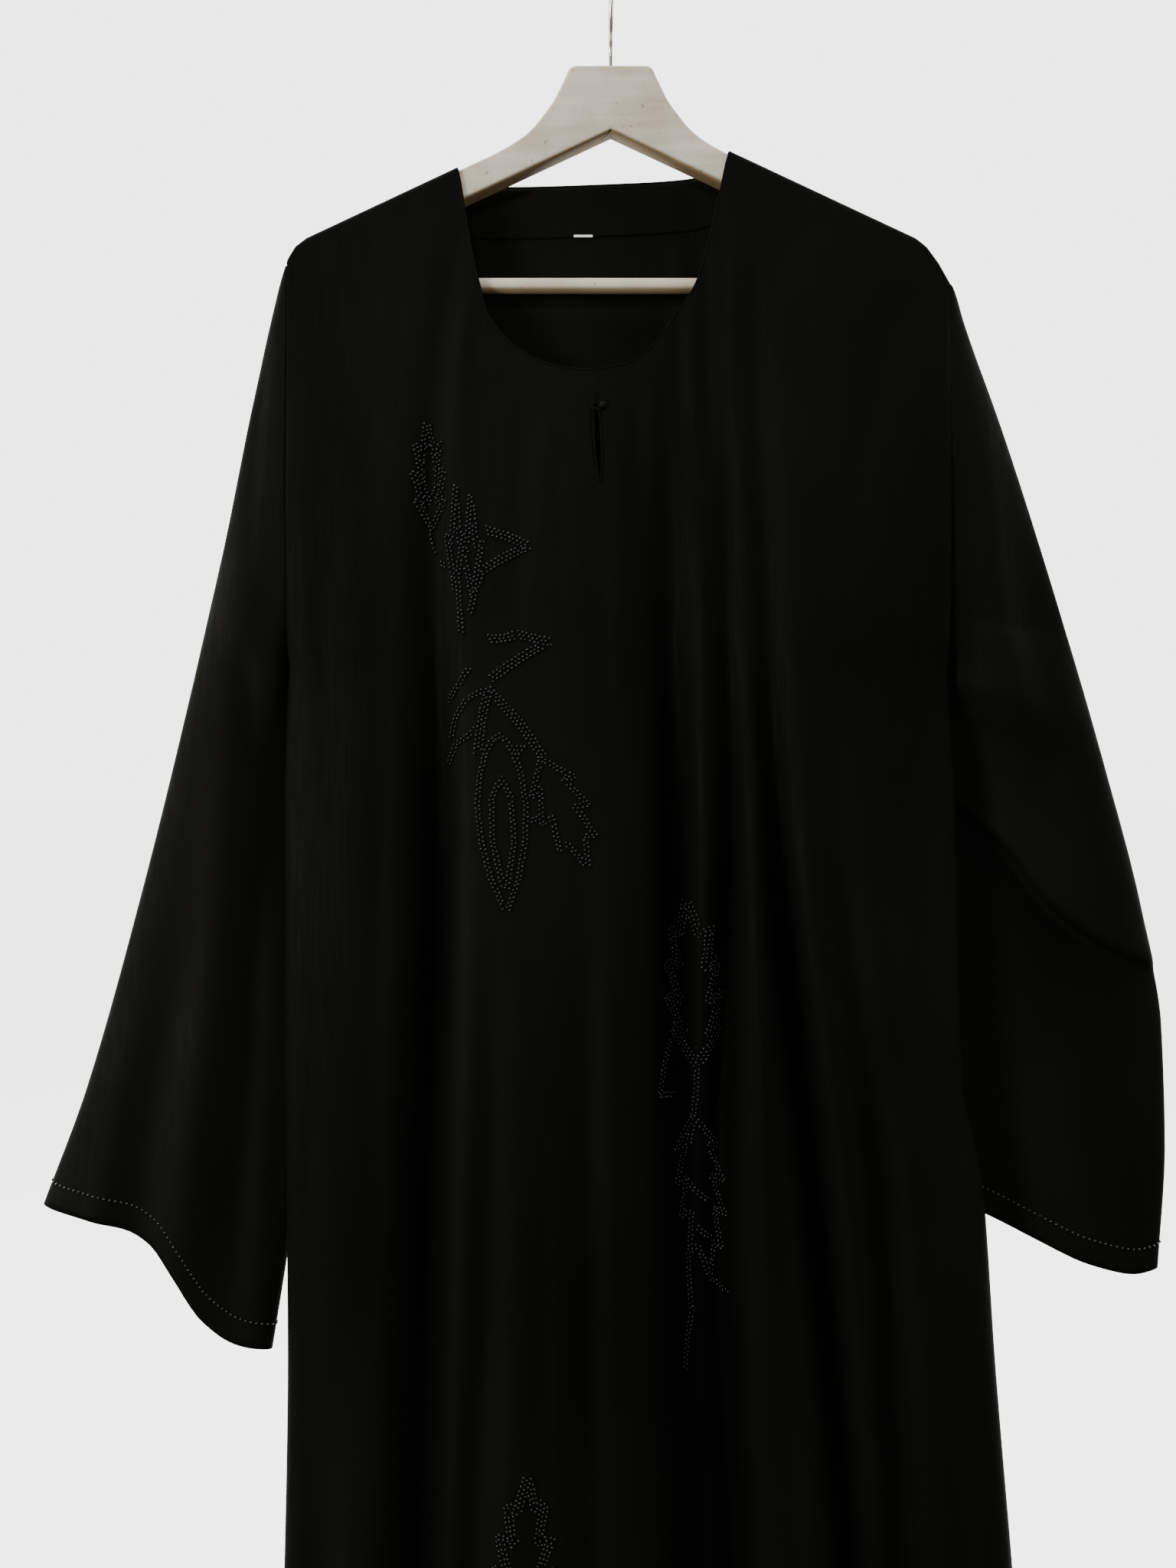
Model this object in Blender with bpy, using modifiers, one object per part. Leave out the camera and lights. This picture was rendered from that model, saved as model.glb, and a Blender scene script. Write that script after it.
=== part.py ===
"""Black pull-over abaya hanging on a painted wooden hanger.

Metres, +Z up. The origin is the inner top of the hook, where the hanger hangs.
The front of the cloth faces -Y, and the hanger lies in the plane y = 0.
Left and right are the viewer's, so the left sleeve is at -X.
"""
from collections import namedtuple
from math import acos, asin, cos, exp, pi, sin, sqrt

import bmesh
import bpy

# Cloth
WALL = 0.0014
FACING_WALL = 0.0010
SEAM_GAP = 0.0003
HEM_Z = -1.513
HEM_CURVE = 0.012

# Fold of the cloth over the hanger's upper edge: a flat top, a quarter round, then straight down
FOLD_FLAT = 0.0048
FOLD_RADIUS = 0.0037
FOLD_ARC = FOLD_RADIUS * pi / 2
FOLD_REACH = FOLD_FLAT + FOLD_RADIUS
LOOSEN_LENGTH = 0.08
LEAST_DEPTH = 0.0040

# Armholes: x of each seam, and the height where it ends under the arm
UNDERARM_Z = -0.455
ARMHOLE_LEFT = -0.2115
ARMHOLE_RIGHT = 0.2215

# Neck points: x where the neckline meets the shoulder line
NECK_LEFT = -0.1010
NECK_RIGHT = 0.0778

# How closely a sleeve's front wall keeps behind the body, and how far out that reaches
TUCK_HOLD = 0.9
TUCK_SPREAD = 1.3

# Mesh fineness
LOW_ROWS = 12
ROW_CROWDING = 1.25
RELAX_TOP = -0.262
RELAX_END = -0.50
SLEEVE_ROWS = 20
SLEEVE_HALF_COLUMNS = 13
FOLD_STEPS = (0.0, FOLD_FLAT, FOLD_FLAT + FOLD_ARC / 3, FOLD_FLAT + FOLD_ARC * 2 / 3, FOLD_FLAT + FOLD_ARC)

# Hanger
HANGER_THICKNESS = 0.0135
HANGER_EDGE_ROUND = 0.0028
HEAD_TOP = -0.056
HEAD_HALF_WIDTH = 0.0225
HEAD_CORNER = 0.0065
ARM_SLOPE = 0.467
ARM_HEIGHT = 0.0207
APEX_Z = -0.099
ARM_END_X = 0.2100
ARM_INNER_X = 0.1790
END_RADIUS = 0.0215
LOBE_RADIUS = 0.0125
BAR_Z = -0.1985
BAR_RADIUS = 0.005
BAR_BORE = 0.030
BAR_BORE_SETBACK = 0.00625
FIT_GAP = 0.0003

# Hook
WIRE_RADIUS = 0.0016
HOOK_RADIUS = 0.0190 + WIRE_RADIUS
HOOK_NECK_Z = -0.044
SHANK_DEPTH = 0.020
HOOK_TIP_TURN = 1.05 * pi

# Keyhole slit
SLIT_TOP = (-0.0102, -0.2735)
SLIT_BOTTOM = (-0.0072, -0.3320)
SLIT_WIDTH = 0.0040
SLIT_CUTTER_FAR = -0.040
SLIT_CUTTER_NEAR = -0.002

# Back neck facing and its tab
FACING_HEIGHT = 0.0350
FACING_SETBACK = 0.0015
FACING_ROWS = 3
FACING_LEFT = -0.0880
FACING_RIGHT = 0.0650
LABEL_X = -0.0182
LABEL_Z = -0.1590
LABEL_SIZE = (0.0140, 0.0008, 0.0032)
LABEL_GAP = 0.0005

# Shoulder line of the cloth: x, height. Between the neck points it is only a line to measure from
Shoulder = namedtuple("Shoulder", "x z")
SHOULDER_LINE = (
    Shoulder(-0.2130, -0.1895),
    Shoulder(-0.2110, -0.1830),
    Shoulder(-0.2060, -0.1750),
    Shoulder(-0.1990, -0.1697),
    Shoulder(NECK_LEFT, -0.1237),
    Shoulder(-0.0985, -0.1222),
    Shoulder(0.0753, -0.1114),
    Shoulder(NECK_RIGHT, -0.1129),
    Shoulder(0.1990, -0.1697),
    Shoulder(0.2060, -0.1750),
    Shoulder(0.2140, -0.1860),
    Shoulder(0.2230, -0.2020),
)

# Side edges of the body: height, x at the left and at the right
Side = namedtuple("Side", "z left right")
SIDES = (
    Side(-0.150, -0.2115, 0.2215),
    Side(-0.455, -0.2115, 0.2215),
    Side(-0.470, -0.2119, 0.2220),
    Side(-0.520, -0.2141, 0.2250),
    Side(-0.718, -0.2135, 0.2300),
    Side(-0.785, -0.2128, 0.2430),
    Side(-0.905, -0.2118, 0.2513),
    Side(-1.044, -0.2140, 0.2626),
    Side(-1.200, -0.2180, 0.2740),
    Side(-1.530, -0.2320, 0.2900),
)

# Depth of each panel from the plane of the hanger: height, in the middle, and at the side edge
Depth = namedtuple("Depth", "z front back edge")
DEPTHS = (
    Depth(-0.120, 0.0080, 0.0080, 0.0080),
    Depth(-0.200, 0.0100, 0.0095, 0.0085),
    Depth(-0.260, 0.0130, 0.0110, 0.0105),
    Depth(-0.330, 0.0180, 0.0130, 0.0120),
    Depth(-0.400, 0.0220, 0.0140, 0.0110),
    Depth(-0.435, 0.0240, 0.0145, 0.0070),
    Depth(-0.455, 0.0250, 0.0150, 0.0006),
    Depth(-0.600, 0.0300, 0.0170, 0.0006),
    Depth(-0.800, 0.0350, 0.0200, 0.0006),
    Depth(-1.050, 0.0410, 0.0250, 0.0006),
    Depth(-1.530, 0.0500, 0.0320, 0.0006),
)
SIDE_ROUNDNESS = 0.5
NECK_STAND = 0.0070
NECK_STAND_FROM = 0.05
NECK_STAND_LENGTH = 0.10

# Necklines: x, and distance down the cloth from the shoulder line to the edge
Neck = namedtuple("Neck", "x fall")
FRONT_NECK = (
    Neck(NECK_LEFT, 0.0000),
    Neck(-0.1000, 0.0104),
    Neck(-0.0985, 0.0180),
    Neck(-0.0950, 0.0412),
    Neck(-0.0872, 0.0815),
    Neck(-0.0803, 0.1070),
    Neck(-0.0620, 0.1300),
    Neck(-0.0400, 0.1430),
    Neck(-0.0117, 0.1480),
    Neck(0.0120, 0.1450),
    Neck(0.0280, 0.1340),
    Neck(0.0420, 0.1150),
    Neck(0.0545, 0.0970),
    Neck(0.0665, 0.0570),
    Neck(0.0753, 0.0170),
    Neck(0.0768, 0.0104),
    Neck(NECK_RIGHT, 0.0000),
)
BACK_NECK = (
    Neck(NECK_LEFT, 0.0000),
    Neck(-0.1000, 0.0104),
    Neck(-0.0985, 0.0117),
    Neck(-0.0555, 0.0130),
    Neck(0.0000, 0.0144),
    Neck(0.0503, 0.0153),
    Neck(0.0753, 0.0117),
    Neck(0.0768, 0.0104),
    Neck(NECK_RIGHT, 0.0000),
)

# Columns of a panel: stretches of its upper edge from one x to another, and the steps each takes
Stretch = namedtuple("Stretch", "start end steps")
FRONT_COLUMNS = (
    Stretch(ARMHOLE_LEFT, -0.1990, 3),
    Stretch(-0.1990, NECK_LEFT, 7),
    Stretch(NECK_LEFT, -0.1000, 5),
    Stretch(-0.1000, -0.0985, 1),
    Stretch(-0.0985, -0.0805, 5),
    Stretch(-0.0805, 0.0437, 12),
    Stretch(0.0437, 0.0753, 5),
    Stretch(0.0753, 0.0768, 1),
    Stretch(0.0768, NECK_RIGHT, 5),
    Stretch(NECK_RIGHT, 0.1990, 8),
    Stretch(0.1990, ARMHOLE_RIGHT, 3),
)
BACK_COLUMNS = (
    Stretch(ARMHOLE_LEFT, -0.1990, 3),
    Stretch(-0.1990, NECK_LEFT, 7),
    Stretch(NECK_LEFT, -0.1000, 5),
    Stretch(-0.1000, -0.0985, 1),
    Stretch(-0.0985, 0.0753, 16),
    Stretch(0.0753, 0.0768, 1),
    Stretch(0.0768, NECK_RIGHT, 5),
    Stretch(NECK_RIGHT, 0.1990, 8),
    Stretch(0.1990, ARMHOLE_RIGHT, 3),
)

# Hanging folds: where each starts, its x at five heights, half its width, its depth at the hem
FOLD_HEIGHTS = (-0.32, -0.54, -0.80, -1.02, -1.51)
FOLD_GROWTH = 0.42
Fold = namedtuple("Fold", "start chest waist hip knee hem width depth")
Place = namedtuple("Place", "z x")
FOLD_WIDENING = 0.5
FOLD_WIDENING_LENGTH = 1.2
FRONT_FOLDS = (
    Fold(-0.23, -0.117, -0.113, -0.119, -0.124, -0.140, 0.015, 0.024),
    Fold(-0.55, -0.078, -0.076, -0.078, -0.088, -0.092, 0.012, 0.009),
    Fold(-0.50, -0.020, -0.018, -0.014, -0.012, -0.010, 0.014, 0.008),
    Fold(-0.22, 0.036, 0.040, 0.045, 0.053, 0.058, 0.016, 0.027),
    Fold(-0.25, 0.074, 0.075, 0.070, 0.080, 0.096, 0.011, 0.023),
    Fold(-0.27, 0.098, 0.104, 0.131, 0.150, 0.176, 0.012, 0.024),
    Fold(-0.45, 0.130, 0.142, 0.174, 0.185, 0.222, 0.014, 0.015),
    Fold(-0.85, -0.180, -0.180, -0.182, -0.185, -0.188, 0.016, 0.016),
)
BACK_FOLDS = (
    Fold(-0.40, -0.150, -0.150, -0.153, -0.158, -0.170, 0.016, 0.015),
    Fold(-0.30, -0.095, -0.095, -0.097, -0.102, -0.112, 0.014, 0.018),
    Fold(-0.50, -0.045, -0.043, -0.042, -0.046, -0.050, 0.017, 0.014),
    Fold(-0.28, 0.015, 0.016, 0.018, 0.020, 0.024, 0.015, 0.019),
    Fold(-0.45, 0.070, 0.074, 0.080, 0.086, 0.098, 0.016, 0.015),
    Fold(-0.30, 0.118, 0.124, 0.136, 0.148, 0.164, 0.014, 0.018),
    Fold(-0.70, 0.170, 0.176, 0.190, 0.200, 0.226, 0.017, 0.014),
)

# Sleeves: distances from the middle of the hanger outwards
Outline = namedtuple("Outline", "z x")
LEFT_OUTLINE = (
    Outline(-0.1890, 0.2160),
    Outline(-0.2167, 0.2222),
    Outline(-0.2820, 0.2368),
    Outline(-0.3630, 0.2530),
    Outline(-0.4840, 0.2803),
    Outline(-0.6055, 0.3106),
    Outline(-0.7267, 0.3449),
    Outline(-0.8040, 0.3737),
)
RIGHT_OUTLINE = (
    Outline(-0.2000, 0.2248),
    Outline(-0.2217, 0.2318),
    Outline(-0.3025, 0.2606),
    Outline(-0.4035, 0.2929),
    Outline(-0.5247, 0.3277),
    Outline(-0.6055, 0.3485),
    Outline(-0.6863, 0.3631),
    Outline(-0.7670, 0.3650),
    Outline(-0.8450, 0.3606),
)

# Inner edge of a sleeve: height, x, y, bulge of the front and rear walls, tuck behind the body
Inner = namedtuple("Inner", "z x y front rear tuck")
LEFT_INNER = (
    Inner(-0.1890, 0.2126, 0.000, 0.000, 0.000, 0.0),
    Inner(-0.4000, 0.2126, 0.000, 0.010, 0.010, 0.0),
    Inner(-0.4550, 0.2131, 0.001, 0.015, 0.015, 0.0),
    Inner(-0.4750, 0.2160, 0.006, 0.016, 0.017, 0.3),
    Inner(-0.4900, 0.2172, 0.011, 0.016, 0.018, 0.7),
    Inner(-0.5300, 0.2135, 0.019, 0.018, 0.021, 1.0),
    Inner(-0.6000, 0.2010, 0.024, 0.020, 0.025, 1.0),
    Inner(-0.7000, 0.1970, 0.024, 0.021, 0.027, 1.0),
    Inner(-0.8000, 0.2120, 0.016, 0.021, 0.027, 0.6),
    Inner(-0.8380, 0.2165, 0.013, 0.020, 0.026, 0.4),
    Inner(-0.9040, 0.2260, 0.008, 0.018, 0.024, 0.2),
)
RIGHT_INNER = (
    Inner(-0.2010, 0.2226, 0.000, 0.000, 0.000, 0.0),
    Inner(-0.4000, 0.2226, 0.000, 0.010, 0.010, 0.0),
    Inner(-0.4550, 0.2231, 0.001, 0.015, 0.015, 0.0),
    Inner(-0.4750, 0.2262, 0.006, 0.016, 0.017, 0.3),
    Inner(-0.4900, 0.2280, 0.011, 0.017, 0.018, 0.7),
    Inner(-0.5300, 0.2245, 0.020, 0.020, 0.021, 1.0),
    Inner(-0.6000, 0.2080, 0.028, 0.022, 0.024, 1.0),
    Inner(-0.7000, 0.1970, 0.032, 0.021, 0.025, 1.0),
    Inner(-0.7930, 0.1870, 0.034, 0.018, 0.022, 1.0),
)

# Lower edge of a sleeve: share of the way from the outer to the inner corner, height in front and behind
Cuff = namedtuple("Cuff", "share front rear")
LEFT_CUFF = (
    Cuff(0.00, -0.8040, -0.8040),
    Cuff(0.33, -0.8185, -0.8170),
    Cuff(0.50, -0.8340, -0.8320),
    Cuff(0.575, -0.8595, -0.8400),
    Cuff(0.70, -0.8860, -0.8600),
    Cuff(0.85, -0.8980, -0.8860),
    Cuff(1.00, -0.9030, -0.9030),
)
RIGHT_CUFF = (
    Cuff(0.00, -0.8450, -0.8450),
    Cuff(0.11, -0.8480, -0.8420),
    Cuff(0.27, -0.8425, -0.8320),
    Cuff(0.46, -0.8290, -0.8180),
    Cuff(0.65, -0.8140, -0.8060),
    Cuff(1.00, -0.7920, -0.7920),
)

# Crease across the bent right sleeve: x, height
Crease = namedtuple("Crease", "x z")
ELBOW_CREASE = (
    Crease(0.215, -0.530),
    Crease(0.226, -0.537),
    Crease(0.264, -0.573),
    Crease(0.290, -0.610),
    Crease(0.321, -0.635),
    Crease(0.347, -0.646),
    Crease(0.365, -0.650),
)
CREASE_DEPTH = 0.013
CREASE_SOFTNESS = 0.004
CREASE_RECOVERY = 0.11
CREASE_FADE = 0.6

BLACK_CREPE = ((0.010, 0.010, 0.009, 1.0), 0.80, 0.0)
WHITE_TAPE = ((0.80, 0.80, 0.78, 1.0), 0.70, 0.0)
PAINTED_WOOD = ((0.56, 0.53, 0.45, 1.0), 0.45, 0.0)
BRIGHT_WIRE = ((0.62, 0.60, 0.56, 1.0), 0.25, 1.0)


def smooth(rows, key, field):
    """Value of a field at a key, on a smooth curve through the rows that never overshoots."""
    rows = sorted(rows, key=lambda row: row[0])
    keys = [row[0] for row in rows]
    values = [getattr(row, field) for row in rows]
    if key <= keys[0]:
        return values[0]
    if key >= keys[-1]:
        return values[-1]
    spans = [b - a for a, b in zip(keys, keys[1:])]
    slopes = [(b - a) / span for a, b, span in zip(values, values[1:], spans)]
    tangents = [slopes[0]]
    for before, after in zip(slopes, slopes[1:]):
        tangents.append(2 * before * after / (before + after) if before * after > 0 else 0.0)
    tangents.append(slopes[-1])
    i = next(i for i, end in enumerate(keys[1:]) if key <= end)
    t = (key - keys[i]) / spans[i]
    return (
        values[i] * (1 + 2 * t) * (1 - t) ** 2
        + values[i + 1] * t * t * (3 - 2 * t)
        + spans[i] * (tangents[i] * t * (1 - t) ** 2 - tangents[i + 1] * t * t * (1 - t))
    )


def straight(rows, key, field):
    """Value of a field at a key, on straight lines through the rows."""
    for low, high in zip(rows, rows[1:]):
        if key <= high[0] or high is rows[-1]:
            t = (key - low[0]) / (high[0] - low[0])
            return getattr(low, field) + t * (getattr(high, field) - getattr(low, field))
    return getattr(rows[0], field)


def ease(t):
    """0 below 0, 1 above 1, and a smooth rise between."""
    t = min(1.0, max(0.0, t))
    return t * t * (3 - 2 * t)


def fold_out(fall):
    """How far the cloth has left the plane y = 0 after a distance down from the shoulder line."""
    if fall <= FOLD_FLAT:
        return fall
    turn = min(pi / 2, (fall - FOLD_FLAT) / FOLD_RADIUS)
    return FOLD_FLAT + FOLD_RADIUS * sin(turn)


def fold_down(fall):
    """How far the cloth has dropped after a distance down from the shoulder line."""
    if fall <= FOLD_FLAT:
        return 0.0
    turn = min(pi / 2, (fall - FOLD_FLAT) / FOLD_RADIUS)
    return FOLD_RADIUS * (1 - cos(turn)) + max(0.0, fall - FOLD_FLAT - FOLD_ARC)


def fall_to(drop):
    """Distance down the cloth that ends a given height below the shoulder line."""
    if drop >= FOLD_RADIUS:
        return drop - FOLD_RADIUS + FOLD_FLAT + FOLD_ARC
    return FOLD_FLAT + FOLD_RADIUS * acos(1 - max(0.0, drop) / FOLD_RADIUS)


def fold_depth(folds, x, z):
    """Sum of the hanging folds' depths at a point of a panel."""
    total = 0.0
    for fold in folds:
        places = [Place(height, place) for height, place in zip(FOLD_HEIGHTS, fold[1:6])]
        middle = smooth(places, z, "x")
        growth = ease((fold.start - z) / FOLD_GROWTH)
        spread = fold.width * (1 + FOLD_WIDENING * (ease((fold.start - z) / FOLD_WIDENING_LENGTH) - 0.4))
        total += fold.depth * growth * exp(-(((x - middle) / spread) ** 2))
    return total


def panel_depth(face, folds, x, z, fall):
    """Distance of a panel's middle surface from the plane y = 0."""
    left, right = smooth(SIDES, z, "left"), smooth(SIDES, z, "right")
    across = min(1.0, max(-1.0, (2 * x - left - right) / (right - left)))
    swell = (1 - across * across) ** (SIDE_ROUNDNESS / 2)
    middle = smooth(DEPTHS, z, "front" if face < 0 else "back")
    edge = smooth(DEPTHS, z, "edge")
    depth = edge + (middle - edge) * swell
    if z < UNDERARM_Z or fall > LOOSEN_LENGTH:
        depth -= fold_depth(folds, x, z)
        depth = max(depth, min(LEAST_DEPTH, edge + swell * LEAST_DEPTH))
    return SEAM_GAP / 2 + fold_out(fall) + (depth - FOLD_REACH) * ease(fall / LOOSEN_LENGTH)


def neck_stand(x, fall):
    """Extra depth of the back between the neck points, where it stands off the hanger."""
    middle, half = (NECK_LEFT + NECK_RIGHT) / 2, (NECK_RIGHT - NECK_LEFT) / 2
    across = (x - middle) / half
    if abs(across) >= 1:
        return 0.0
    return NECK_STAND * (1 - across ** 4) * (1 - ease((fall - NECK_STAND_FROM) / NECK_STAND_LENGTH))


def column_places(stretches):
    """x of each column where it meets the panel's upper edge."""
    places = [stretches[0].start]
    for stretch in stretches:
        step = (stretch.end - stretch.start) / stretch.steps
        places += [stretch.start + step * (i + 1) for i in range(stretch.steps)]
    return places


def neck_fall(neck, x):
    """Distance down the cloth from the shoulder line to the neckline, and 0 outside the neck."""
    return smooth(neck, x, "fall") if neck[0].x < x < neck[-1].x else 0.0


def row_falls(start, length):
    """Distances down a column: close together over the hanger's edge, then wider."""
    falls = [start + step for step in FOLD_STEPS]
    for row in range(1, LOW_ROWS + 1):
        falls.append(falls[len(FOLD_STEPS) - 1] + (length - falls[len(FOLD_STEPS) - 1])
                     * (row / LOW_ROWS) ** ROW_CROWDING)
    return falls


def panel_point(face, folds, x_top, share, fall):
    """Point of the front (face -1) or back (face 1), on the cloth's middle surface."""
    z = straight(SHOULDER_LINE, x_top, "z") - fold_down(fall)
    left, right = smooth(SIDES, z, "left"), smooth(SIDES, z, "right")
    even = left + share * (right - left)
    x = x_top + (even - x_top) * ease((RELAX_TOP - z) / (RELAX_TOP - RELAX_END))
    depth = panel_depth(face, folds, x, z, fall)
    if face > 0:
        depth += neck_stand(x, fall)
    return x, face * depth, z


def column_falls(neck, x_top, share):
    """Distances of a column's points down the cloth, from its upper edge to the hem."""
    hem = HEM_Z + HEM_CURVE * (2 * share - 1) ** 2
    return row_falls(neck_fall(neck, x_top), fall_to(straight(SHOULDER_LINE, x_top, "z") - hem))


def panel_grid(face, neck, stretches, folds):
    """Columns of points of a panel, from its upper edge down to the hem."""
    places = column_places(stretches)
    grid = []
    for index, x_top in enumerate(places):
        share = index / (len(places) - 1)
        falls = column_falls(neck, x_top, share)
        grid.append([panel_point(face, folds, x_top, share, fall) for fall in falls])
    return grid


def armhole_depth(seam_x, z):
    """Half the width of the armhole at a height, measured front to back."""
    top = straight(SHOULDER_LINE, seam_x, "z")
    if z < UNDERARM_Z:
        return 0.0
    fall = fall_to(top - z)
    edge = smooth(DEPTHS, z, "edge")
    return fold_out(fall) + (edge - FOLD_REACH) * ease(fall / LOOSEN_LENGTH)


def crease_inset(crease, x, z):
    """How far the front wall steps back under the crease of a bent sleeve."""
    if not crease:
        return 0.0
    below = smooth(crease, x, "z") - z
    across = (x - crease[0].x) / (crease[-1].x - crease[0].x)
    if not 0 < across < 1:
        return 0.0
    step = ease(0.5 + below / (6 * CREASE_SOFTNESS))
    return CREASE_DEPTH * sin(pi * across) ** CREASE_FADE * step * exp(-max(0.0, below) / CREASE_RECOVERY)


def sleeve_point(side, seam_x, outline, inner, cuff, crease, inner_z, turn, front):
    """Point of a sleeve: turn 0 is its inner edge and pi its outer edge, over the front or rear wall."""
    top_z = inner[0].z
    down = (top_z - inner_z) / (top_z - cuff[-1].front)
    open_depth = armhole_depth(seam_x, inner_z)
    bulge = smooth(inner, inner_z, "front" if front else "rear")
    if inner_z >= UNDERARM_Z:
        bulge = max(bulge, open_depth)
        start = asin(min(1.0, open_depth / bulge)) if bulge > 0 else pi / 2
    else:
        start = 0.0
    angle = start + (pi - start) * turn
    share = (1 + cos(angle)) / 2
    edge_row = "front" if front else "rear"
    outer_z = top_z - down * (top_z - cuff[0].front)
    z = top_z - down * (top_z - smooth(cuff, share, edge_row))
    outer_x = smooth(outline, outer_z, "x")
    inner_x = smooth(inner, inner_z, "x")
    x = outer_x - (outer_x - inner_x) * (1 + cos(angle)) / (1 + cos(start))
    y = smooth(inner, inner_z, "y") * share
    if front:
        slack = 1 - TUCK_HOLD * smooth(inner, inner_z, "tuck") * share ** TUCK_SPREAD
        y += crease_inset(crease, x, z) - bulge * sin(angle) * slack
    else:
        y += bulge * sin(angle)
    return side * x, y, z


def sleeve_grid(side, seam_x, outline, inner, cuff, crease=()):
    """Rings of a sleeve from the shoulder down: front wall, outer edge, rear wall."""
    top_z = inner[0].z
    heights = [top_z - fold_down(step) for step in FOLD_STEPS[1:]]
    start, last = heights[-1], cuff[-1].front
    heights += [start + (last - start) * (row / SLEEVE_ROWS) for row in range(1, SLEEVE_ROWS + 1)]
    n = SLEEVE_HALF_COLUMNS
    rings = []
    for row, height in enumerate(heights):
        ring = []
        for i in range(2 * n + 1):
            front = i <= n
            turn = i / n if front else (2 * n - i) / n
            ring.append(sleeve_point(side, seam_x, outline, inner, cuff, crease, height, turn, front))
        if row == 0:
            ring = [(x, 0.0, z) for x, y, z in ring]
        rings.append(ring)
    return rings


def surface_mesh(name, grid):
    """Open surface through a grid of points, with coincident points joined."""
    bm = bmesh.new()
    rows = [[bm.verts.new(point) for point in line] for line in grid]
    for line, following in zip(rows, rows[1:]):
        for i in range(len(line) - 1):
            bm.faces.new((line[i], line[i + 1], following[i + 1], following[i]))
    bmesh.ops.remove_doubles(bm, verts=bm.verts, dist=0.00002)
    bmesh.ops.recalc_face_normals(bm, faces=bm.faces)
    mesh = bpy.data.meshes.new(name)
    bm.to_mesh(mesh)
    bm.free()
    mesh.shade_smooth()
    return mesh


def add_object(name, mesh, collection, finish=None):
    """Object from a mesh, in a collection, with its own material."""
    piece = bpy.data.objects.new(name, mesh)
    collection.objects.link(piece)
    if finish:
        colour, roughness, metallic = finish
        material = bpy.data.materials.new(name)
        material.use_nodes = True
        shader = material.node_tree.nodes["Principled BSDF"]
        shader.inputs["Base Color"].default_value = colour
        shader.inputs["Roughness"].default_value = roughness
        shader.inputs["Metallic"].default_value = metallic
        mesh.materials.append(material)
    return piece


def add_cloth(name, grid, collection, thickness=WALL, finish=BLACK_CREPE):
    """Cloth piece: an open surface with its wall on both sides of it."""
    piece = add_object(name, surface_mesh(name, grid), collection, finish)
    wall = piece.modifiers.new("wall", "SOLIDIFY")
    wall.thickness = thickness
    wall.offset = 0.0
    return piece


def cut(piece, cutter):
    """Boolean difference that stays live on the piece."""
    cutter.hide_render = True
    cutter.display_type = "WIRE"
    boolean = piece.modifiers.new(cutter.name, "BOOLEAN")
    boolean.operation = "DIFFERENCE"
    boolean.object = cutter


def round_rod(name, start, end, radius, collection, sides=16, finish=None):
    """Straight rod between two points that share an axis, along X or Z."""
    along = 0 if start[0] != end[0] else 2
    bm = bmesh.new()
    bmesh.ops.create_cone(bm, cap_ends=True, segments=sides, radius1=radius, radius2=radius,
                          depth=abs(end[along] - start[along]))
    mesh = bpy.data.meshes.new(name)
    bm.to_mesh(mesh)
    bm.free()
    rod = add_object(name, mesh, collection, finish)
    rod.location = [(a + b) / 2 for a, b in zip(start, end)]
    rod.rotation_euler = (0.0, pi / 2 if along == 0 else 0.0, 0.0)
    return rod


def slit_cutter(collection):
    """Lens-shaped prism that opens the keyhole slit through the front."""
    steps = 12
    shares = [i / steps for i in range(steps + 1)]
    lens = [SLIT_WIDTH / 2 * (1 - (2 * t - 1) ** 2) for t in shares]
    line = [[a + t * (b - a) for a, b in zip(SLIT_TOP, SLIT_BOTTOM)] for t in shares]
    outline = [(x + w, z) for (x, z), w in zip(line, lens)]
    outline += [(x - w, z) for (x, z), w in reversed(list(zip(line, lens))[1:-1])]
    bm = bmesh.new()
    face = bm.faces.new([bm.verts.new((x, SLIT_CUTTER_FAR, z)) for x, z in outline])
    moved = bmesh.ops.extrude_face_region(bm, geom=[face])["geom"]
    far_side = [v for v in moved if isinstance(v, bmesh.types.BMVert)]
    bmesh.ops.translate(bm, vec=(0.0, SLIT_CUTTER_NEAR - SLIT_CUTTER_FAR, 0.0), verts=far_side)
    bmesh.ops.recalc_face_normals(bm, faces=bm.faces)
    mesh = bpy.data.meshes.new("slit_cutter")
    bm.to_mesh(mesh)
    bm.free()
    return add_object("slit_cutter", mesh, collection)


def arc(centre, radius, start, end, steps):
    """Points of an arc, angles in radians from +X."""
    angles = [start + (end - start) * i / steps for i in range(steps + 1)]
    return [(centre[0] + radius * cos(a), centre[1] + radius * sin(a)) for a in angles]


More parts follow.
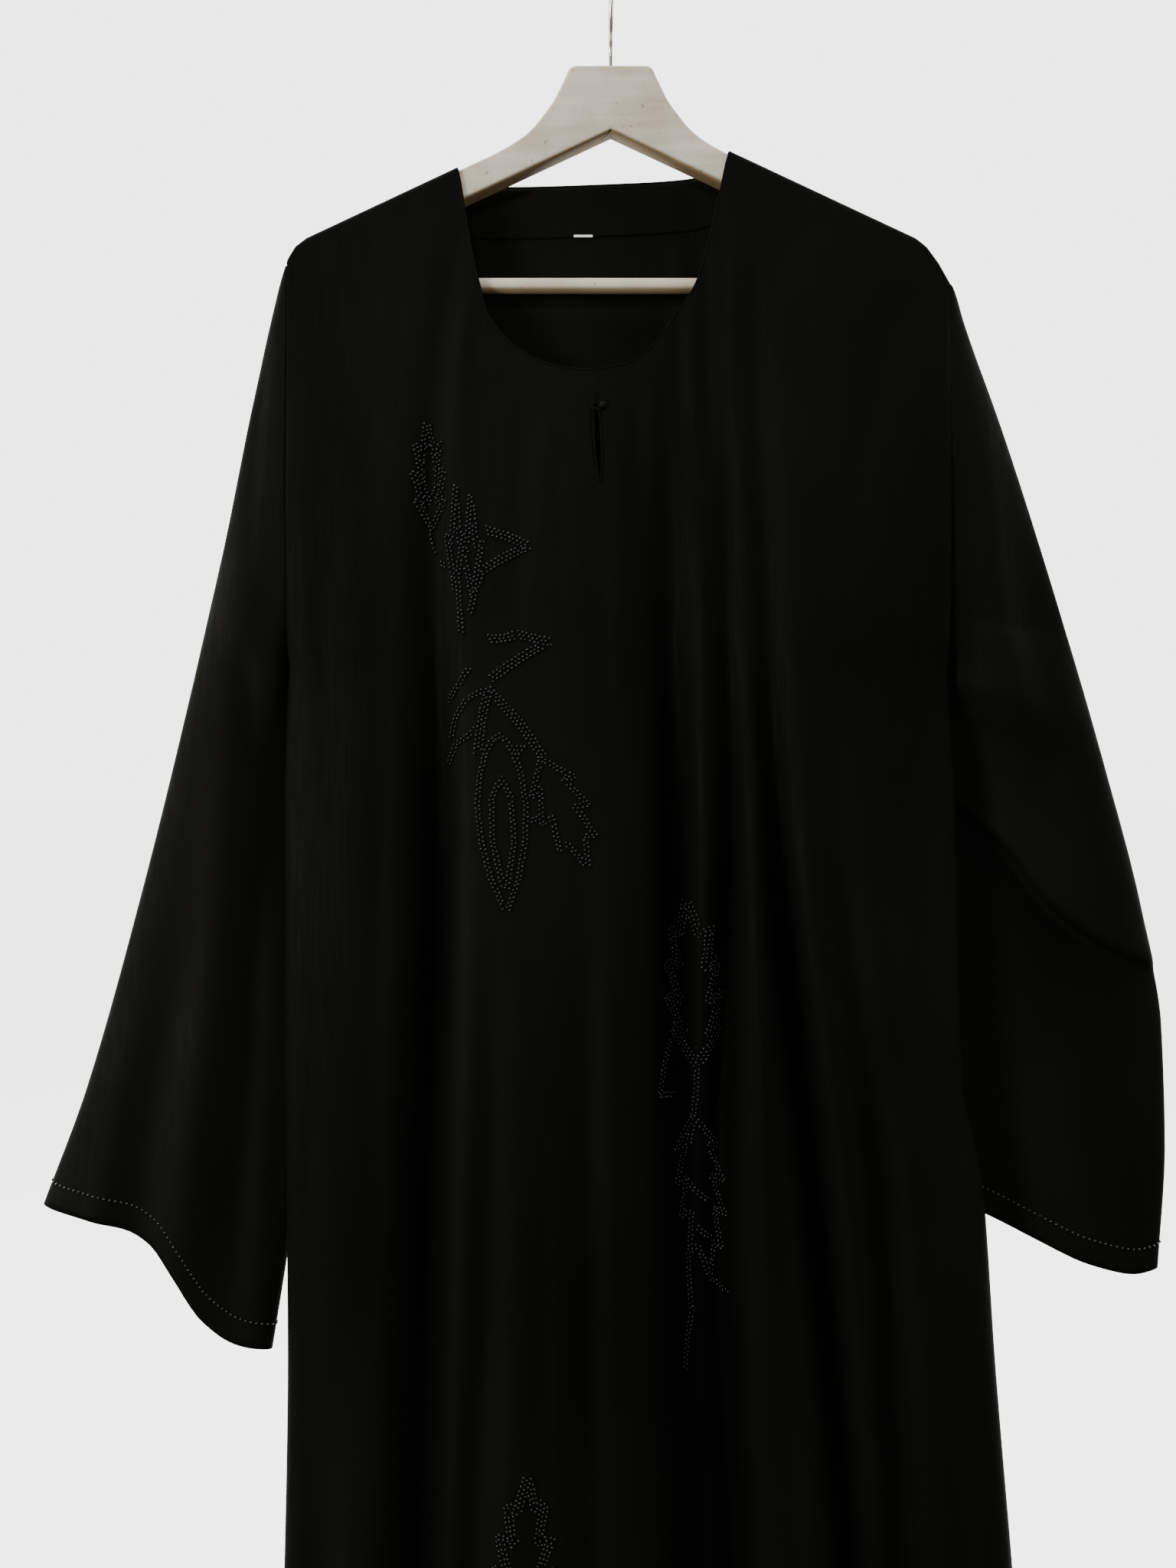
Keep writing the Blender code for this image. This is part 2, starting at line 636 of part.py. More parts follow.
def hanger_half():
    """Right half of the hanger's outline, from the middle of its head round to the apex below."""
    top_line = APEX_Z + ARM_HEIGHT
    normal = (ARM_SLOPE / sqrt(1 + ARM_SLOPE ** 2), 1 / sqrt(1 + ARM_SLOPE ** 2))
    end_x = ARM_END_X - END_RADIUS
    end_z = top_line - ARM_SLOPE * (end_x + END_RADIUS * normal[0]) - END_RADIUS * normal[1]
    slope_turn = asin(normal[1])
    corner = (HEAD_HALF_WIDTH, HEAD_TOP - HEAD_CORNER)
    head = [(0.0, HEAD_TOP), (0.022, HEAD_TOP)] + arc(corner, HEAD_CORNER, pi / 2, 0.15, 4)[1:]
    neck = [(0.0365, -0.0770), (0.0445, -0.0885), (0.0530, -0.0985), (0.0640, -0.1068), (0.0790, -0.1150)]
    end = arc((end_x, end_z), END_RADIUS, slope_turn, 0.0, 6)
    lobe = arc((ARM_END_X - LOBE_RADIUS, BAR_Z + 0.0045), LOBE_RADIUS, 0.0, -pi * 0.98, 8)
    return head + neck + end + lobe + [(ARM_INNER_X, APEX_Z - ARM_SLOPE * ARM_INNER_X), (0.0, APEX_Z)]


def make_hanger_body(collection, cutters):
    """Flat wooden hanger with rounded edges, bored for its bar and its hook."""
    half = hanger_half()
    outline = half + [(-x, z) for x, z in reversed(half[1:-1])]
    bm = bmesh.new()
    bm.faces.new([bm.verts.new((x, 0.0, z)) for x, z in outline])
    mesh = bpy.data.meshes.new("hanger_body")
    bm.to_mesh(mesh)
    bm.free()
    body = add_object("hanger_body", mesh, collection, PAINTED_WOOD)
    board = body.modifiers.new("board", "SOLIDIFY")
    board.thickness = HANGER_THICKNESS
    board.offset = 0.0
    edges = body.modifiers.new("rounded edges", "BEVEL")
    edges.width = HANGER_EDGE_ROUND
    edges.segments = 2
    edges.limit_method = "ANGLE"
    edges.angle_limit = 1.2
    bore_end = ARM_END_X - BAR_BORE_SETBACK
    for side in (-1, 1):
        inner, outer = (side * (bore_end - BAR_BORE), 0.0, BAR_Z), (side * bore_end, 0.0, BAR_Z)
        cut(body, round_rod(f"bar_bore_{side}", inner, outer, BAR_RADIUS + FIT_GAP, cutters))
    shank_bore = round_rod("shank_bore", (0.0, 0.0, HEAD_TOP - SHANK_DEPTH), (0.0, 0.0, HEAD_TOP + 0.010),
                           WIRE_RADIUS + FIT_GAP, cutters, sides=12)
    cut(body, shank_bore)


def make_hook(collection):
    """Wire hook: straight shank, round loop in the plane x = 0, open behind."""
    middle_z = WIRE_RADIUS - HOOK_RADIUS
    shank = [(0.0, HEAD_TOP - SHANK_DEPTH + 0.001), (0.0, -0.060), (0.0, -0.050)]
    neck = [(-0.0006, HOOK_NECK_Z - 0.001), (-0.0042, HOOK_NECK_Z + 0.0042)]
    turn_start = pi * 1.36
    loop = arc((0.0, middle_z), HOOK_RADIUS, turn_start, turn_start - HOOK_TIP_TURN - 0.36 * pi, 22)
    curve = bpy.data.curves.new("hanger_hook", "CURVE")
    curve.dimensions = "3D"
    curve.bevel_depth = WIRE_RADIUS
    curve.bevel_resolution = 2
    curve.use_fill_caps = True
    spline = curve.splines.new("POLY")
    path = shank + neck + loop[1:]
    spline.points.add(len(path) - 1)
    for point, (y, z) in zip(spline.points, path):
        point.co = (0.0, y, z, 1.0)
    hook = add_object("hanger_hook_wire", curve, collection)
    bpy.context.view_layer.update()
    evaluated = hook.evaluated_get(bpy.context.evaluated_depsgraph_get())
    mesh = bpy.data.meshes.new_from_object(evaluated)
    bm = bmesh.new()
    bm.from_mesh(mesh)
    bmesh.ops.remove_doubles(bm, verts=bm.verts, dist=0.00001)
    bmesh.ops.recalc_face_normals(bm, faces=bm.faces)
    bm.to_mesh(mesh)
    bm.free()
    bpy.data.objects.remove(hook)
    add_object("hanger_hook", mesh, collection, BRIGHT_WIRE)


def facing_grid(back_grid):
    """Points on the back's own columns, moved in towards the hanger, for the neck facing."""
    places = column_places(BACK_COLUMNS)
    inwards = WALL / 2 + SEAM_GAP + FACING_WALL / 2
    grid = []
    for index, x_top in enumerate(places):
        if not FACING_LEFT <= x_top <= FACING_RIGHT:
            continue
        falls = column_falls(BACK_NECK, x_top, index / (len(places) - 1))
        edge = falls[0]
        line = []
        for step in range(FACING_ROWS + 1):
            fall = edge + FACING_SETBACK + (FACING_HEIGHT - FACING_SETBACK) * step / FACING_ROWS
            x, y, z = along_column(back_grid[index], falls, fall)
            line.append((x, y - inwards, z))
        grid.append(line)
    return grid


def along_column(points, falls, fall):
    """Point on the straight runs of a column, at a distance down the cloth."""
    after = next(i for i, value in enumerate(falls) if value > fall)
    t = (fall - falls[after - 1]) / (falls[after] - falls[after - 1])
    return [a + t * (b - a) for a, b in zip(points[after - 1], points[after])]


def make_label(collection, facing):
    """Plain folded tab in front of the facing's lower edge."""
    lower_points = [point for line in facing for point in line[-2:]]
    nearest = min(lower_points, key=lambda point: abs(point[0] - LABEL_X))
    bm = bmesh.new()
    bmesh.ops.create_cube(bm, size=1.0)
    bmesh.ops.scale(bm, vec=LABEL_SIZE, verts=bm.verts)
    mesh = bpy.data.meshes.new("neck_label")
    bm.to_mesh(mesh)
    bm.free()
    label = add_object("neck_label", mesh, collection, WHITE_TAPE)
    stack = FACING_WALL / 2 + LABEL_GAP + LABEL_SIZE[1] / 2
    label.location = (LABEL_X, nearest[1] - stack, LABEL_Z)


def main():
    for existing in list(bpy.data.objects):
        bpy.data.objects.remove(existing)
    garment = bpy.data.collections.new("abaya_on_hanger")
    cutters = bpy.data.collections.new("cutters")
    for collection in (garment, cutters):
        bpy.context.scene.collection.children.link(collection)

    front = add_cloth("front", panel_grid(-1, FRONT_NECK, FRONT_COLUMNS, FRONT_FOLDS), garment)
    cut(front, slit_cutter(cutters))
    back_grid = panel_grid(1, BACK_NECK, BACK_COLUMNS, BACK_FOLDS)
    add_cloth("back", back_grid, garment)
    hanging = sleeve_grid(-1, ARMHOLE_LEFT, LEFT_OUTLINE, LEFT_INNER, LEFT_CUFF)
    add_cloth("sleeve_left", hanging, garment)
    bent = sleeve_grid(1, ARMHOLE_RIGHT, RIGHT_OUTLINE, RIGHT_INNER, RIGHT_CUFF, ELBOW_CREASE)
    add_cloth("sleeve_right", bent, garment)
    facing = facing_grid(back_grid)
    add_cloth("back_neck_facing", facing, garment, FACING_WALL)
    make_label(garment, facing)
    make_hanger_body(garment, cutters)
    bar_end = ARM_END_X - BAR_BORE_SETBACK - FIT_GAP
    round_rod("hanger_bar", (-bar_end, 0.0, BAR_Z), (bar_end, 0.0, BAR_Z), BAR_RADIUS, garment,
              finish=PAINTED_WOOD)
    make_hook(garment)


main()
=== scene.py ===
"""Black pull-over abaya on a painted wooden hanger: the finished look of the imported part.

Metres, +Z up. The origin is the inner top of the hook, where the hanger hangs, and the front of
the cloth faces -Y. Left and right are the viewer's, so the left sleeve is at -X.
"""
import logging
from collections.abc import Sequence
from dataclasses import dataclass
from enum import Enum
from math import asin, cos, pi, sin, sqrt
from typing import NamedTuple

import bmesh
import bpy
import numpy as np
from bpy.types import Material, Mesh, Node, NodeSocket, NodeTree, Object
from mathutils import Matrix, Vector
from mathutils.bvhtree import BVHTree


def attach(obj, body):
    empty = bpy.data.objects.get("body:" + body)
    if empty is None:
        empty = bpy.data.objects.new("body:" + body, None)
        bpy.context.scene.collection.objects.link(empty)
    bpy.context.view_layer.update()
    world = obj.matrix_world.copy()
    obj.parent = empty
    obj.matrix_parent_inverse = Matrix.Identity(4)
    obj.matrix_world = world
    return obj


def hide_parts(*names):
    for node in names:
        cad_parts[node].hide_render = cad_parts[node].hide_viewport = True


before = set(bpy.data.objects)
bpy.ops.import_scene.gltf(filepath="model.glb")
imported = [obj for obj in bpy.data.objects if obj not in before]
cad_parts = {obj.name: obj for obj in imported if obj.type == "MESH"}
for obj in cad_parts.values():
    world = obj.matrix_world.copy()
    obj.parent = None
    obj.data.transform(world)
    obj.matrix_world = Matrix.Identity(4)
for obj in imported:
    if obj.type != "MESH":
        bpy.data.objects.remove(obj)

log = logging.getLogger("abaya")

Pair = tuple[float, float]
Point = tuple[float, float, float]
Grid = np.ndarray

WHITE: Point = (1.0, 1.0, 1.0)
CLOTH_WELD = 0.00002
TUBE_WELD = 0.000005

# Cloth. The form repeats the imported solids', at a finer step and with a thinner wall
SHELL = 0.0007
SEAM_GAP = 0.0001
SEAM_CLOSING = 0.0008
CLOSING_LENGTH = 0.02
HEM_Z = -1.513
HEM_CURVE = 0.012
FOLD_FLAT = 0.0048
FOLD_RADIUS = 0.0037
FOLD_ARC = FOLD_RADIUS * pi / 2
FOLD_REACH = FOLD_FLAT + FOLD_RADIUS
LOOSEN_LENGTH = 0.08
LEAST_DEPTH = 0.0040
SIDE_ROUNDNESS = 0.5
ROW_CROWDING = 1.25
RELAX_TOP = -0.262
RELAX_END = -0.50

UNDERARM_Z = -0.455
ARMHOLE_LEFT = -0.2115
ARMHOLE_RIGHT = 0.2215
NECK_LEFT = -0.1010
NECK_RIGHT = 0.0778
NECK_STAND = 0.0070
NECK_STAND_FROM = 0.05
NECK_STAND_LENGTH = 0.10
TUCK_HOLD = 0.9
TUCK_SPREAD = 1.3

# Small creases fade in over these shares of their length and away from seams and edges
CREASE_START = 0.3
CREASE_END = 0.4
CREASE_SIDE = 0.10
CREASE_FROM = 0.02
PANEL_CREASE_FADE = 0.04
SLEEVE_CREASE_FADE = 0.06

FACING_HEIGHT = 0.0350
FACING_SETBACK = 0.0015
FACING_INWARDS = 0.0010
FACING_LEFT = -0.0986
FACING_RIGHT = 0.0754


class Level(NamedTuple):
    """Point of the shoulder line, or of the crease at the elbow."""

    x: float
    z: float


class Side(NamedTuple):
    """Side edges of the body at a height."""

    z: float
    left: float
    right: float


class Depth(NamedTuple):
    """Depth of the front, the back and the side edges at a height."""

    z: float
    front: float
    back: float
    edge: float


class Neck(NamedTuple):
    """Distance of the neckline down the cloth from the shoulder line."""

    x: float
    fall: float


class Stretch(NamedTuple):
    """Columns of a panel between two places on its upper edge."""

    start: float
    end: float
    steps: int


class Fold(NamedTuple):
    """Hanging fold: where it starts, its x at five heights, half its width and its depth."""

    start: float
    chest: float
    waist: float
    hip: float
    knee: float
    hem: float
    width: float
    depth: float


class Place(NamedTuple):
    """x of a fold, or of a sleeve's outer edge, at a height."""

    z: float
    x: float


class Crease(NamedTuple):
    """Soft ridge, or trough where its height is negative, from one point to another."""

    x: float
    z: float
    to_x: float
    to_z: float
    bow: float
    width: float
    height: float


class Inner(NamedTuple):
    """Inner edge of a sleeve, the bulge of its walls and its tuck behind the body."""

    z: float
    x: float
    y: float
    front: float
    rear: float
    tuck: float


class Cuff(NamedTuple):
    """Height of a sleeve's lower edge at a share of the way to its inner corner."""

    share: float
    front: float
    rear: float


def table(kind: type[NamedTuple], *rows: Sequence[float]) -> tuple[NamedTuple, ...]:
    """Rows of one kind."""
    return tuple(kind(*row) for row in rows)


SHOULDER_LINE = table(
    Level,
    (-0.213, -0.1895), (-0.211, -0.183), (-0.206, -0.175), (-0.199, -0.1697), (NECK_LEFT, -0.1237),
    (-0.0985, -0.1222), (0.0753, -0.1114), (NECK_RIGHT, -0.1129), (0.199, -0.1697), (0.206, -0.175),
    (0.214, -0.186), (0.223, -0.202),
)
SIDES = table(
    Side,
    (-0.15, -0.2115, 0.2215), (-0.455, -0.2115, 0.2215), (-0.47, -0.2119, 0.222),
    (-0.52, -0.2141, 0.225), (-0.718, -0.2135, 0.23), (-0.785, -0.2128, 0.243),
    (-0.905, -0.2118, 0.2513), (-1.044, -0.214, 0.2626), (-1.2, -0.218, 0.274),
    (-1.53, -0.232, 0.29),
)
DEPTHS = table(
    Depth,
    (-0.12, 0.008, 0.008, 0.008), (-0.2, 0.01, 0.0095, 0.0085), (-0.26, 0.013, 0.011, 0.0105),
    (-0.33, 0.018, 0.013, 0.012), (-0.4, 0.022, 0.014, 0.011), (-0.435, 0.024, 0.0145, 0.007),
    (-0.455, 0.025, 0.015, 0.0), (-0.6, 0.03, 0.017, -0.0002),
    (-0.8, 0.035, 0.02, -0.0002), (-1.05, 0.041, 0.025, -0.0002),
    (-1.53, 0.05, 0.032, -0.0002),
)
FRONT_NECK = table(
    Neck,
    (NECK_LEFT, 0.0), (-0.1, 0.0104), (-0.0985, 0.018), (-0.095, 0.0412), (-0.0872, 0.0815),
    (-0.0803, 0.107), (-0.062, 0.13), (-0.04, 0.143), (-0.0117, 0.148), (0.012, 0.145),
    (0.028, 0.134), (0.042, 0.115), (0.0545, 0.097), (0.0665, 0.057), (0.0753, 0.017),
    (0.0768, 0.0104), (NECK_RIGHT, 0.0),
)
BACK_NECK = table(
    Neck,
    (NECK_LEFT, 0.0), (-0.1, 0.0104), (-0.0985, 0.0117), (-0.0555, 0.013), (0.0, 0.0144),
    (0.0503, 0.0153), (0.0753, 0.0117), (0.0768, 0.0104), (NECK_RIGHT, 0.0),
)
FRONT_COLUMNS = table(
    Stretch,
    (ARMHOLE_LEFT, -0.199, 3), (-0.199, NECK_LEFT, 7), (NECK_LEFT, -0.1, 5), (-0.1, -0.0985, 1),
    (-0.0985, -0.0805, 5), (-0.0805, 0.0437, 12), (0.0437, 0.0753, 5), (0.0753, 0.0768, 1),
    (0.0768, NECK_RIGHT, 5), (NECK_RIGHT, 0.199, 8), (0.199, ARMHOLE_RIGHT, 3),
)
BACK_COLUMNS = (*FRONT_COLUMNS[:4], Stretch(-0.0985, 0.0753, 16), *FRONT_COLUMNS[7:])

FOLD_HEIGHTS = (-0.32, -0.54, -0.80, -1.02, -1.51)
FOLD_GROWTH = 0.42
FOLD_WIDENING = 0.5
FOLD_WIDENING_LENGTH = 1.2
FOLD_NOMINAL = 0.4
# Fold depths at which the painted shade in the fold valleys begins and is full
PAINTED_SHADE_FROM = 0.006
PAINTED_SHADE_FULL = 0.024
FRONT_FOLDS = table(
    Fold,
    (-0.23, -0.117, -0.113, -0.119, -0.124, -0.14, 0.015, 0.024),
    (-0.55, -0.078, -0.076, -0.078, -0.088, -0.092, 0.012, 0.009),
    (-0.5, -0.02, -0.018, -0.014, -0.012, -0.01, 0.014, 0.008),
    (-0.22, 0.036, 0.04, 0.045, 0.053, 0.058, 0.016, 0.027),
    (-0.25, 0.074, 0.075, 0.07, 0.08, 0.096, 0.011, 0.023),
    (-0.27, 0.098, 0.104, 0.131, 0.15, 0.176, 0.012, 0.024),
    (-0.45, 0.13, 0.142, 0.174, 0.185, 0.222, 0.014, 0.015),
    (-0.85, -0.18, -0.18, -0.182, -0.185, -0.188, 0.016, 0.016),
)
BACK_FOLDS = table(
    Fold,
    (-0.4, -0.15, -0.15, -0.153, -0.158, -0.17, 0.016, 0.015),
    (-0.3, -0.095, -0.095, -0.097, -0.102, -0.112, 0.014, 0.018),
    (-0.5, -0.045, -0.043, -0.042, -0.046, -0.05, 0.017, 0.014),
    (-0.28, 0.015, 0.016, 0.018, 0.02, 0.024, 0.015, 0.019),
    (-0.45, 0.07, 0.074, 0.08, 0.086, 0.098, 0.016, 0.015),
    (-0.3, 0.118, 0.124, 0.136, 0.148, 0.164, 0.014, 0.018),
    (-0.7, 0.17, 0.176, 0.19, 0.2, 0.226, 0.017, 0.014),
)
FRONT_CREASES = table(
    Crease,
    (-0.098, -0.15, -0.118, -0.42, 0.006, 0.009, -0.0035),
    (-0.092, -0.19, -0.1, -0.33, 0.003, 0.007, 0.002),
    (-0.196, -0.185, -0.15, -0.38, -0.008, 0.012, -0.0022),
    (-0.205, -0.23, -0.19, -0.56, 0.004, 0.01, 0.002),
    (-0.165, -0.26, -0.16, -0.7, 0.004, 0.014, 0.0016),
    (-0.148, -0.48, -0.158, -1.0, -0.003, 0.009, -0.0014),
    (-0.19, -0.62, -0.196, -1.16, 0.003, 0.01, -0.0018),
    (-0.168, -0.93, -0.172, -1.7, 0.0, 0.01, 0.0024),
    (0.043, -0.205, 0.046, -0.3, 0.001, 0.0035, -0.0016),
    (0.052, -0.2, 0.056, -0.33, 0.001, 0.004, 0.0016),
    (0.061, -0.165, 0.066, -0.33, 0.001, 0.0045, -0.002),
    (0.016, -0.262, 0.021, -0.39, 0.002, 0.0045, -0.0014),
    (0.027, -0.245, 0.03, -0.37, 0.001, 0.004, 0.0012),
    (0.002, -0.275, 0.004, -0.52, -0.001, 0.006, 0.001),
    (-0.03, -0.27, -0.034, -0.43, 0.001, 0.006, -0.001),
    (-0.052, -0.262, -0.062, -0.46, 0.003, 0.008, -0.0014),
    (0.08, -0.15, 0.088, -0.4, 0.003, 0.006, 0.0024),
    (0.092, -0.15, 0.104, -0.42, 0.004, 0.006, -0.0026),
    (0.115, -0.17, 0.122, -0.43, 0.005, 0.011, 0.002),
    (0.195, -0.19, 0.15, -0.42, 0.01, 0.013, -0.0024),
    (0.2, -0.24, 0.196, -0.6, 0.003, 0.01, 0.0018),
    (0.16, -0.42, 0.176, -0.8, 0.003, 0.012, 0.002),
    (0.196, -0.56, 0.214, -0.96, 0.004, 0.008, -0.002),
    (0.028, -0.42, 0.026, -0.9, 0.002, 0.006, 0.0022),
    (0.057, -0.33, 0.058, -0.62, 0.0, 0.005, 0.0024),
    (0.088, -0.43, 0.101, -0.98, -0.002, 0.005, 0.003),
    (0.112, -0.64, 0.14, -1.3, 0.002, 0.006, 0.0018),
    (-0.002, -0.56, 0.002, -1.2, 0.003, 0.008, 0.0018),
    (-0.04, -0.7, -0.046, -1.3, 0.002, 0.007, -0.0016),
    (-0.062, -0.82, -0.068, -1.7, 0.002, 0.009, 0.0022),
    (-0.104, -0.9, -0.116, -1.7, 0.001, 0.007, 0.002),
    (0.03, -0.95, 0.03, -1.7, -0.002, 0.009, 0.0024),
    (0.116, -1.08, 0.132, -1.7, 0.001, 0.008, -0.002),
    (0.236, -0.86, 0.256, -1.5, 0.002, 0.008, -0.0018),
    (0.205, -1.0, 0.252, -1.7, 0.003, 0.009, 0.0022),
)
BACK_CREASES = table(
    Crease,
    (-0.17, -0.19, -0.13, -0.4, -0.008, 0.012, -0.0022),
    (-0.2, -0.24, -0.186, -0.6, 0.004, 0.01, 0.0018),
    (-0.06, -0.18, -0.07, -0.42, 0.003, 0.01, -0.0016),
    (0.045, -0.15, 0.062, -0.3, 0.004, 0.007, -0.002),
    (0.11, -0.17, 0.1, -0.4, -0.004, 0.01, 0.0018),
    (0.19, -0.2, 0.15, -0.43, 0.008, 0.012, -0.0022),
    (0.2, -0.28, 0.192, -0.64, 0.003, 0.01, 0.0016),
    (-0.122, -0.5, -0.126, -1.1, 0.002, 0.008, 0.002),
    (-0.016, -0.42, -0.012, -1.0, -0.002, 0.009, 0.002),
    (0.042, -0.56, 0.05, -1.2, 0.002, 0.008, -0.0016),
    (0.15, -0.6, 0.166, -1.15, 0.003, 0.008, -0.0018),
    (-0.19, -0.72, -0.196, -1.7, 0.002, 0.01, 0.0022),
    (-0.076, -0.9, -0.078, -1.7, 0.002, 0.009, -0.0018),
    (0.06, -1.0, 0.064, -1.7, -0.002, 0.009, 0.002),
    (0.126, -0.98, 0.136, -1.7, 0.001, 0.008, 0.0018),
    (0.22, -0.9, 0.254, -1.7, 0.003, 0.01, -0.002),
)

LEFT_OUTLINE = table(
    Place,
    (-0.189, 0.2134), (-0.1935, 0.2158), (-0.2167, 0.2222), (-0.282, 0.2368), (-0.363, 0.253),
    (-0.484, 0.2803), (-0.6055, 0.3106), (-0.7267, 0.3449), (-0.804, 0.3737),
)
RIGHT_OUTLINE = table(
    Place,
    (-0.201, 0.2236), (-0.206, 0.2268), (-0.2217, 0.2318), (-0.3025, 0.2606), (-0.4035, 0.2929),
    (-0.5247, 0.3277), (-0.6055, 0.3485), (-0.6863, 0.3631), (-0.767, 0.365), (-0.845, 0.3606),
)
LEFT_INNER = table(
    Inner,
    (-0.189, 0.2126, 0.0, 0.0, 0.0, 0.0), (-0.4, 0.2126, 0.0, 0.01, 0.01, 0.0),
    (-0.455, 0.2131, 0.001, 0.015, 0.015, 0.0), (-0.475, 0.2136, 0.006, 0.016, 0.017, 0.3),
    (-0.49, 0.215, 0.011, 0.016, 0.018, 0.7), (-0.53, 0.2135, 0.019, 0.018, 0.021, 1.0),
    (-0.6, 0.201, 0.024, 0.02, 0.025, 1.0), (-0.7, 0.197, 0.024, 0.021, 0.027, 1.0),
    (-0.8, 0.212, 0.016, 0.021, 0.027, 0.6), (-0.838, 0.2165, 0.013, 0.02, 0.026, 0.4),
    (-0.904, 0.226, 0.008, 0.018, 0.024, 0.2),
)
RIGHT_INNER = table(
    Inner,
    (-0.201, 0.2226, 0.0, 0.0, 0.0, 0.0), (-0.4, 0.2226, 0.0, 0.01, 0.01, 0.0),
    (-0.455, 0.2231, 0.001, 0.015, 0.015, 0.0), (-0.475, 0.2238, 0.006, 0.016, 0.017, 0.3),
    (-0.49, 0.2258, 0.011, 0.017, 0.018, 0.7), (-0.53, 0.2245, 0.02, 0.02, 0.021, 1.0),
    (-0.6, 0.208, 0.028, 0.022, 0.024, 1.0), (-0.7, 0.197, 0.032, 0.021, 0.025, 1.0),
    (-0.793, 0.187, 0.034, 0.018, 0.022, 1.0),
)
LEFT_CUFF = table(
    Cuff,
    (0.0, -0.803, -0.804), (0.33, -0.814, -0.817), (0.5, -0.827, -0.832),
    (0.6, -0.846, -0.842), (0.72, -0.877, -0.862), (0.85, -0.895, -0.886),
    (1.0, -0.903, -0.903),
)
RIGHT_CUFF = table(
    Cuff,
    (0.0, -0.845, -0.845), (0.11, -0.848, -0.842), (0.27, -0.8425, -0.832),
    (0.46, -0.829, -0.818), (0.65, -0.814, -0.806), (1.0, -0.792, -0.792),
)
LEFT_CREASES = table(
    Crease,
    (-0.226, -0.3, -0.262, -0.62, 0.004, 0.012, 0.003),
    (-0.244, -0.48, -0.286, -0.96, 0.004, 0.015, 0.006),
    (-0.262, -0.56, -0.33, -0.96, 0.006, 0.016, -0.004),
    (-0.232, -0.52, -0.25, -0.96, 0.003, 0.01, -0.004),
    (-0.3, -0.64, -0.345, -0.9, 0.004, 0.012, 0.002),
    (-0.222, -0.21, -0.236, -0.42, 0.003, 0.007, -0.0018),
)
RIGHT_CREASES = table(
    Crease,
    (0.236, -0.24, 0.27, -0.52, 0.006, 0.012, 0.003),
    (0.262, -0.33, 0.315, -0.6, 0.005, 0.014, -0.0026),
    (0.232, -0.38, 0.246, -0.54, 0.003, 0.008, -0.0024),
    (0.3, -0.7, 0.322, -0.9, 0.003, 0.014, 0.0024),
    (0.262, -0.66, 0.28, -0.9, 0.004, 0.013, -0.0024),
    (0.342, -0.69, 0.344, -0.88, 0.002, 0.009, 0.0016),
    (0.232, -0.64, 0.244, -0.86, 0.002, 0.009, 0.002),
)
ELBOW_CREASE = table(
    Level,
    (0.215, -0.53), (0.226, -0.537), (0.264, -0.573), (0.29, -0.61), (0.321, -0.635), (0.347, -0.646),
    (0.365, -0.65),
)
ELBOW_DEPTH = 0.013
ELBOW_FADE = 0.6
ELBOW_RECOVERY = 0.11
ELBOW_SOFTNESS = 0.007
ELBOW_OVERLAP = 0.009


def smooth(rows: Sequence[NamedTuple], key: Grid | float, field: str) -> Grid:
    """Values on a smooth curve through the rows of a table, which never overshoots.

    Args:
        rows: Rows whose first column is the key.
        key: Where the values are wanted.
        field: Column that holds the values.

    Returns:
        The values, in the key's shape.
    """
    ordered = sorted(rows, key=lambda row: row[0])
    keys = np.array([row[0] for row in ordered])
    values = np.array([getattr(row, field) for row in ordered])
    slopes = np.diff(values) / np.diff(keys)
    tangents = np.zeros_like(values)
    tangents[0], tangents[-1] = slopes[0], slopes[-1]
    before, after = slopes[:-1], slopes[1:]
    rising = before * after > 0
    tangents[1:-1] = np.where(rising, 2 * before * after / np.where(rising, before + after, 1.0), 0.0)
    key = np.clip(key, keys[0], keys[-1])
    i = np.clip(np.searchsorted(keys, key) - 1, 0, len(keys) - 2)
    span = keys[i + 1] - keys[i]
    t = (key - keys[i]) / span
    return (
        values[i] * (1 + 2 * t) * (1 - t) ** 2
        + values[i + 1] * t * t * (3 - 2 * t)
        + span * (tangents[i] * t * (1 - t) ** 2 - tangents[i + 1] * t * t * (1 - t))
    )


def ease(t: Grid | float) -> Grid:
    """0 below 0, 1 above 1, and a smooth rise between."""
    t = np.clip(t, 0.0, 1.0)
    return t * t * (3 - 2 * t)


def shoulder_height(x: Grid | float) -> Grid:
    """Height of the shoulder line at x."""
    return np.interp(x, [row.x for row in SHOULDER_LINE], [row.z for row in SHOULDER_LINE])


def fold_out(fall: Grid) -> Grid:
    """How far the cloth has left the plane y = 0 after a distance down from the shoulder line."""
    turn = np.clip((fall - FOLD_FLAT) / FOLD_RADIUS, 0.0, pi / 2)
    return np.where(fall <= FOLD_FLAT, fall, FOLD_FLAT + FOLD_RADIUS * np.sin(turn))


def fold_down(fall: Grid) -> Grid:
    """How far the cloth has dropped after a distance down from the shoulder line."""
    turn = np.clip((fall - FOLD_FLAT) / FOLD_RADIUS, 0.0, pi / 2)
    return FOLD_RADIUS * (1 - np.cos(turn)) + np.maximum(0.0, fall - FOLD_FLAT - FOLD_ARC)


def fall_to(drop: Grid) -> Grid:
    """Distance down the cloth that ends a given height below the shoulder line."""
    curved = FOLD_FLAT + FOLD_RADIUS * np.arccos(np.clip(1 - drop / FOLD_RADIUS, -1.0, 1.0))
    return np.where(drop >= FOLD_RADIUS, drop - FOLD_RADIUS + FOLD_FLAT + FOLD_ARC, curved)


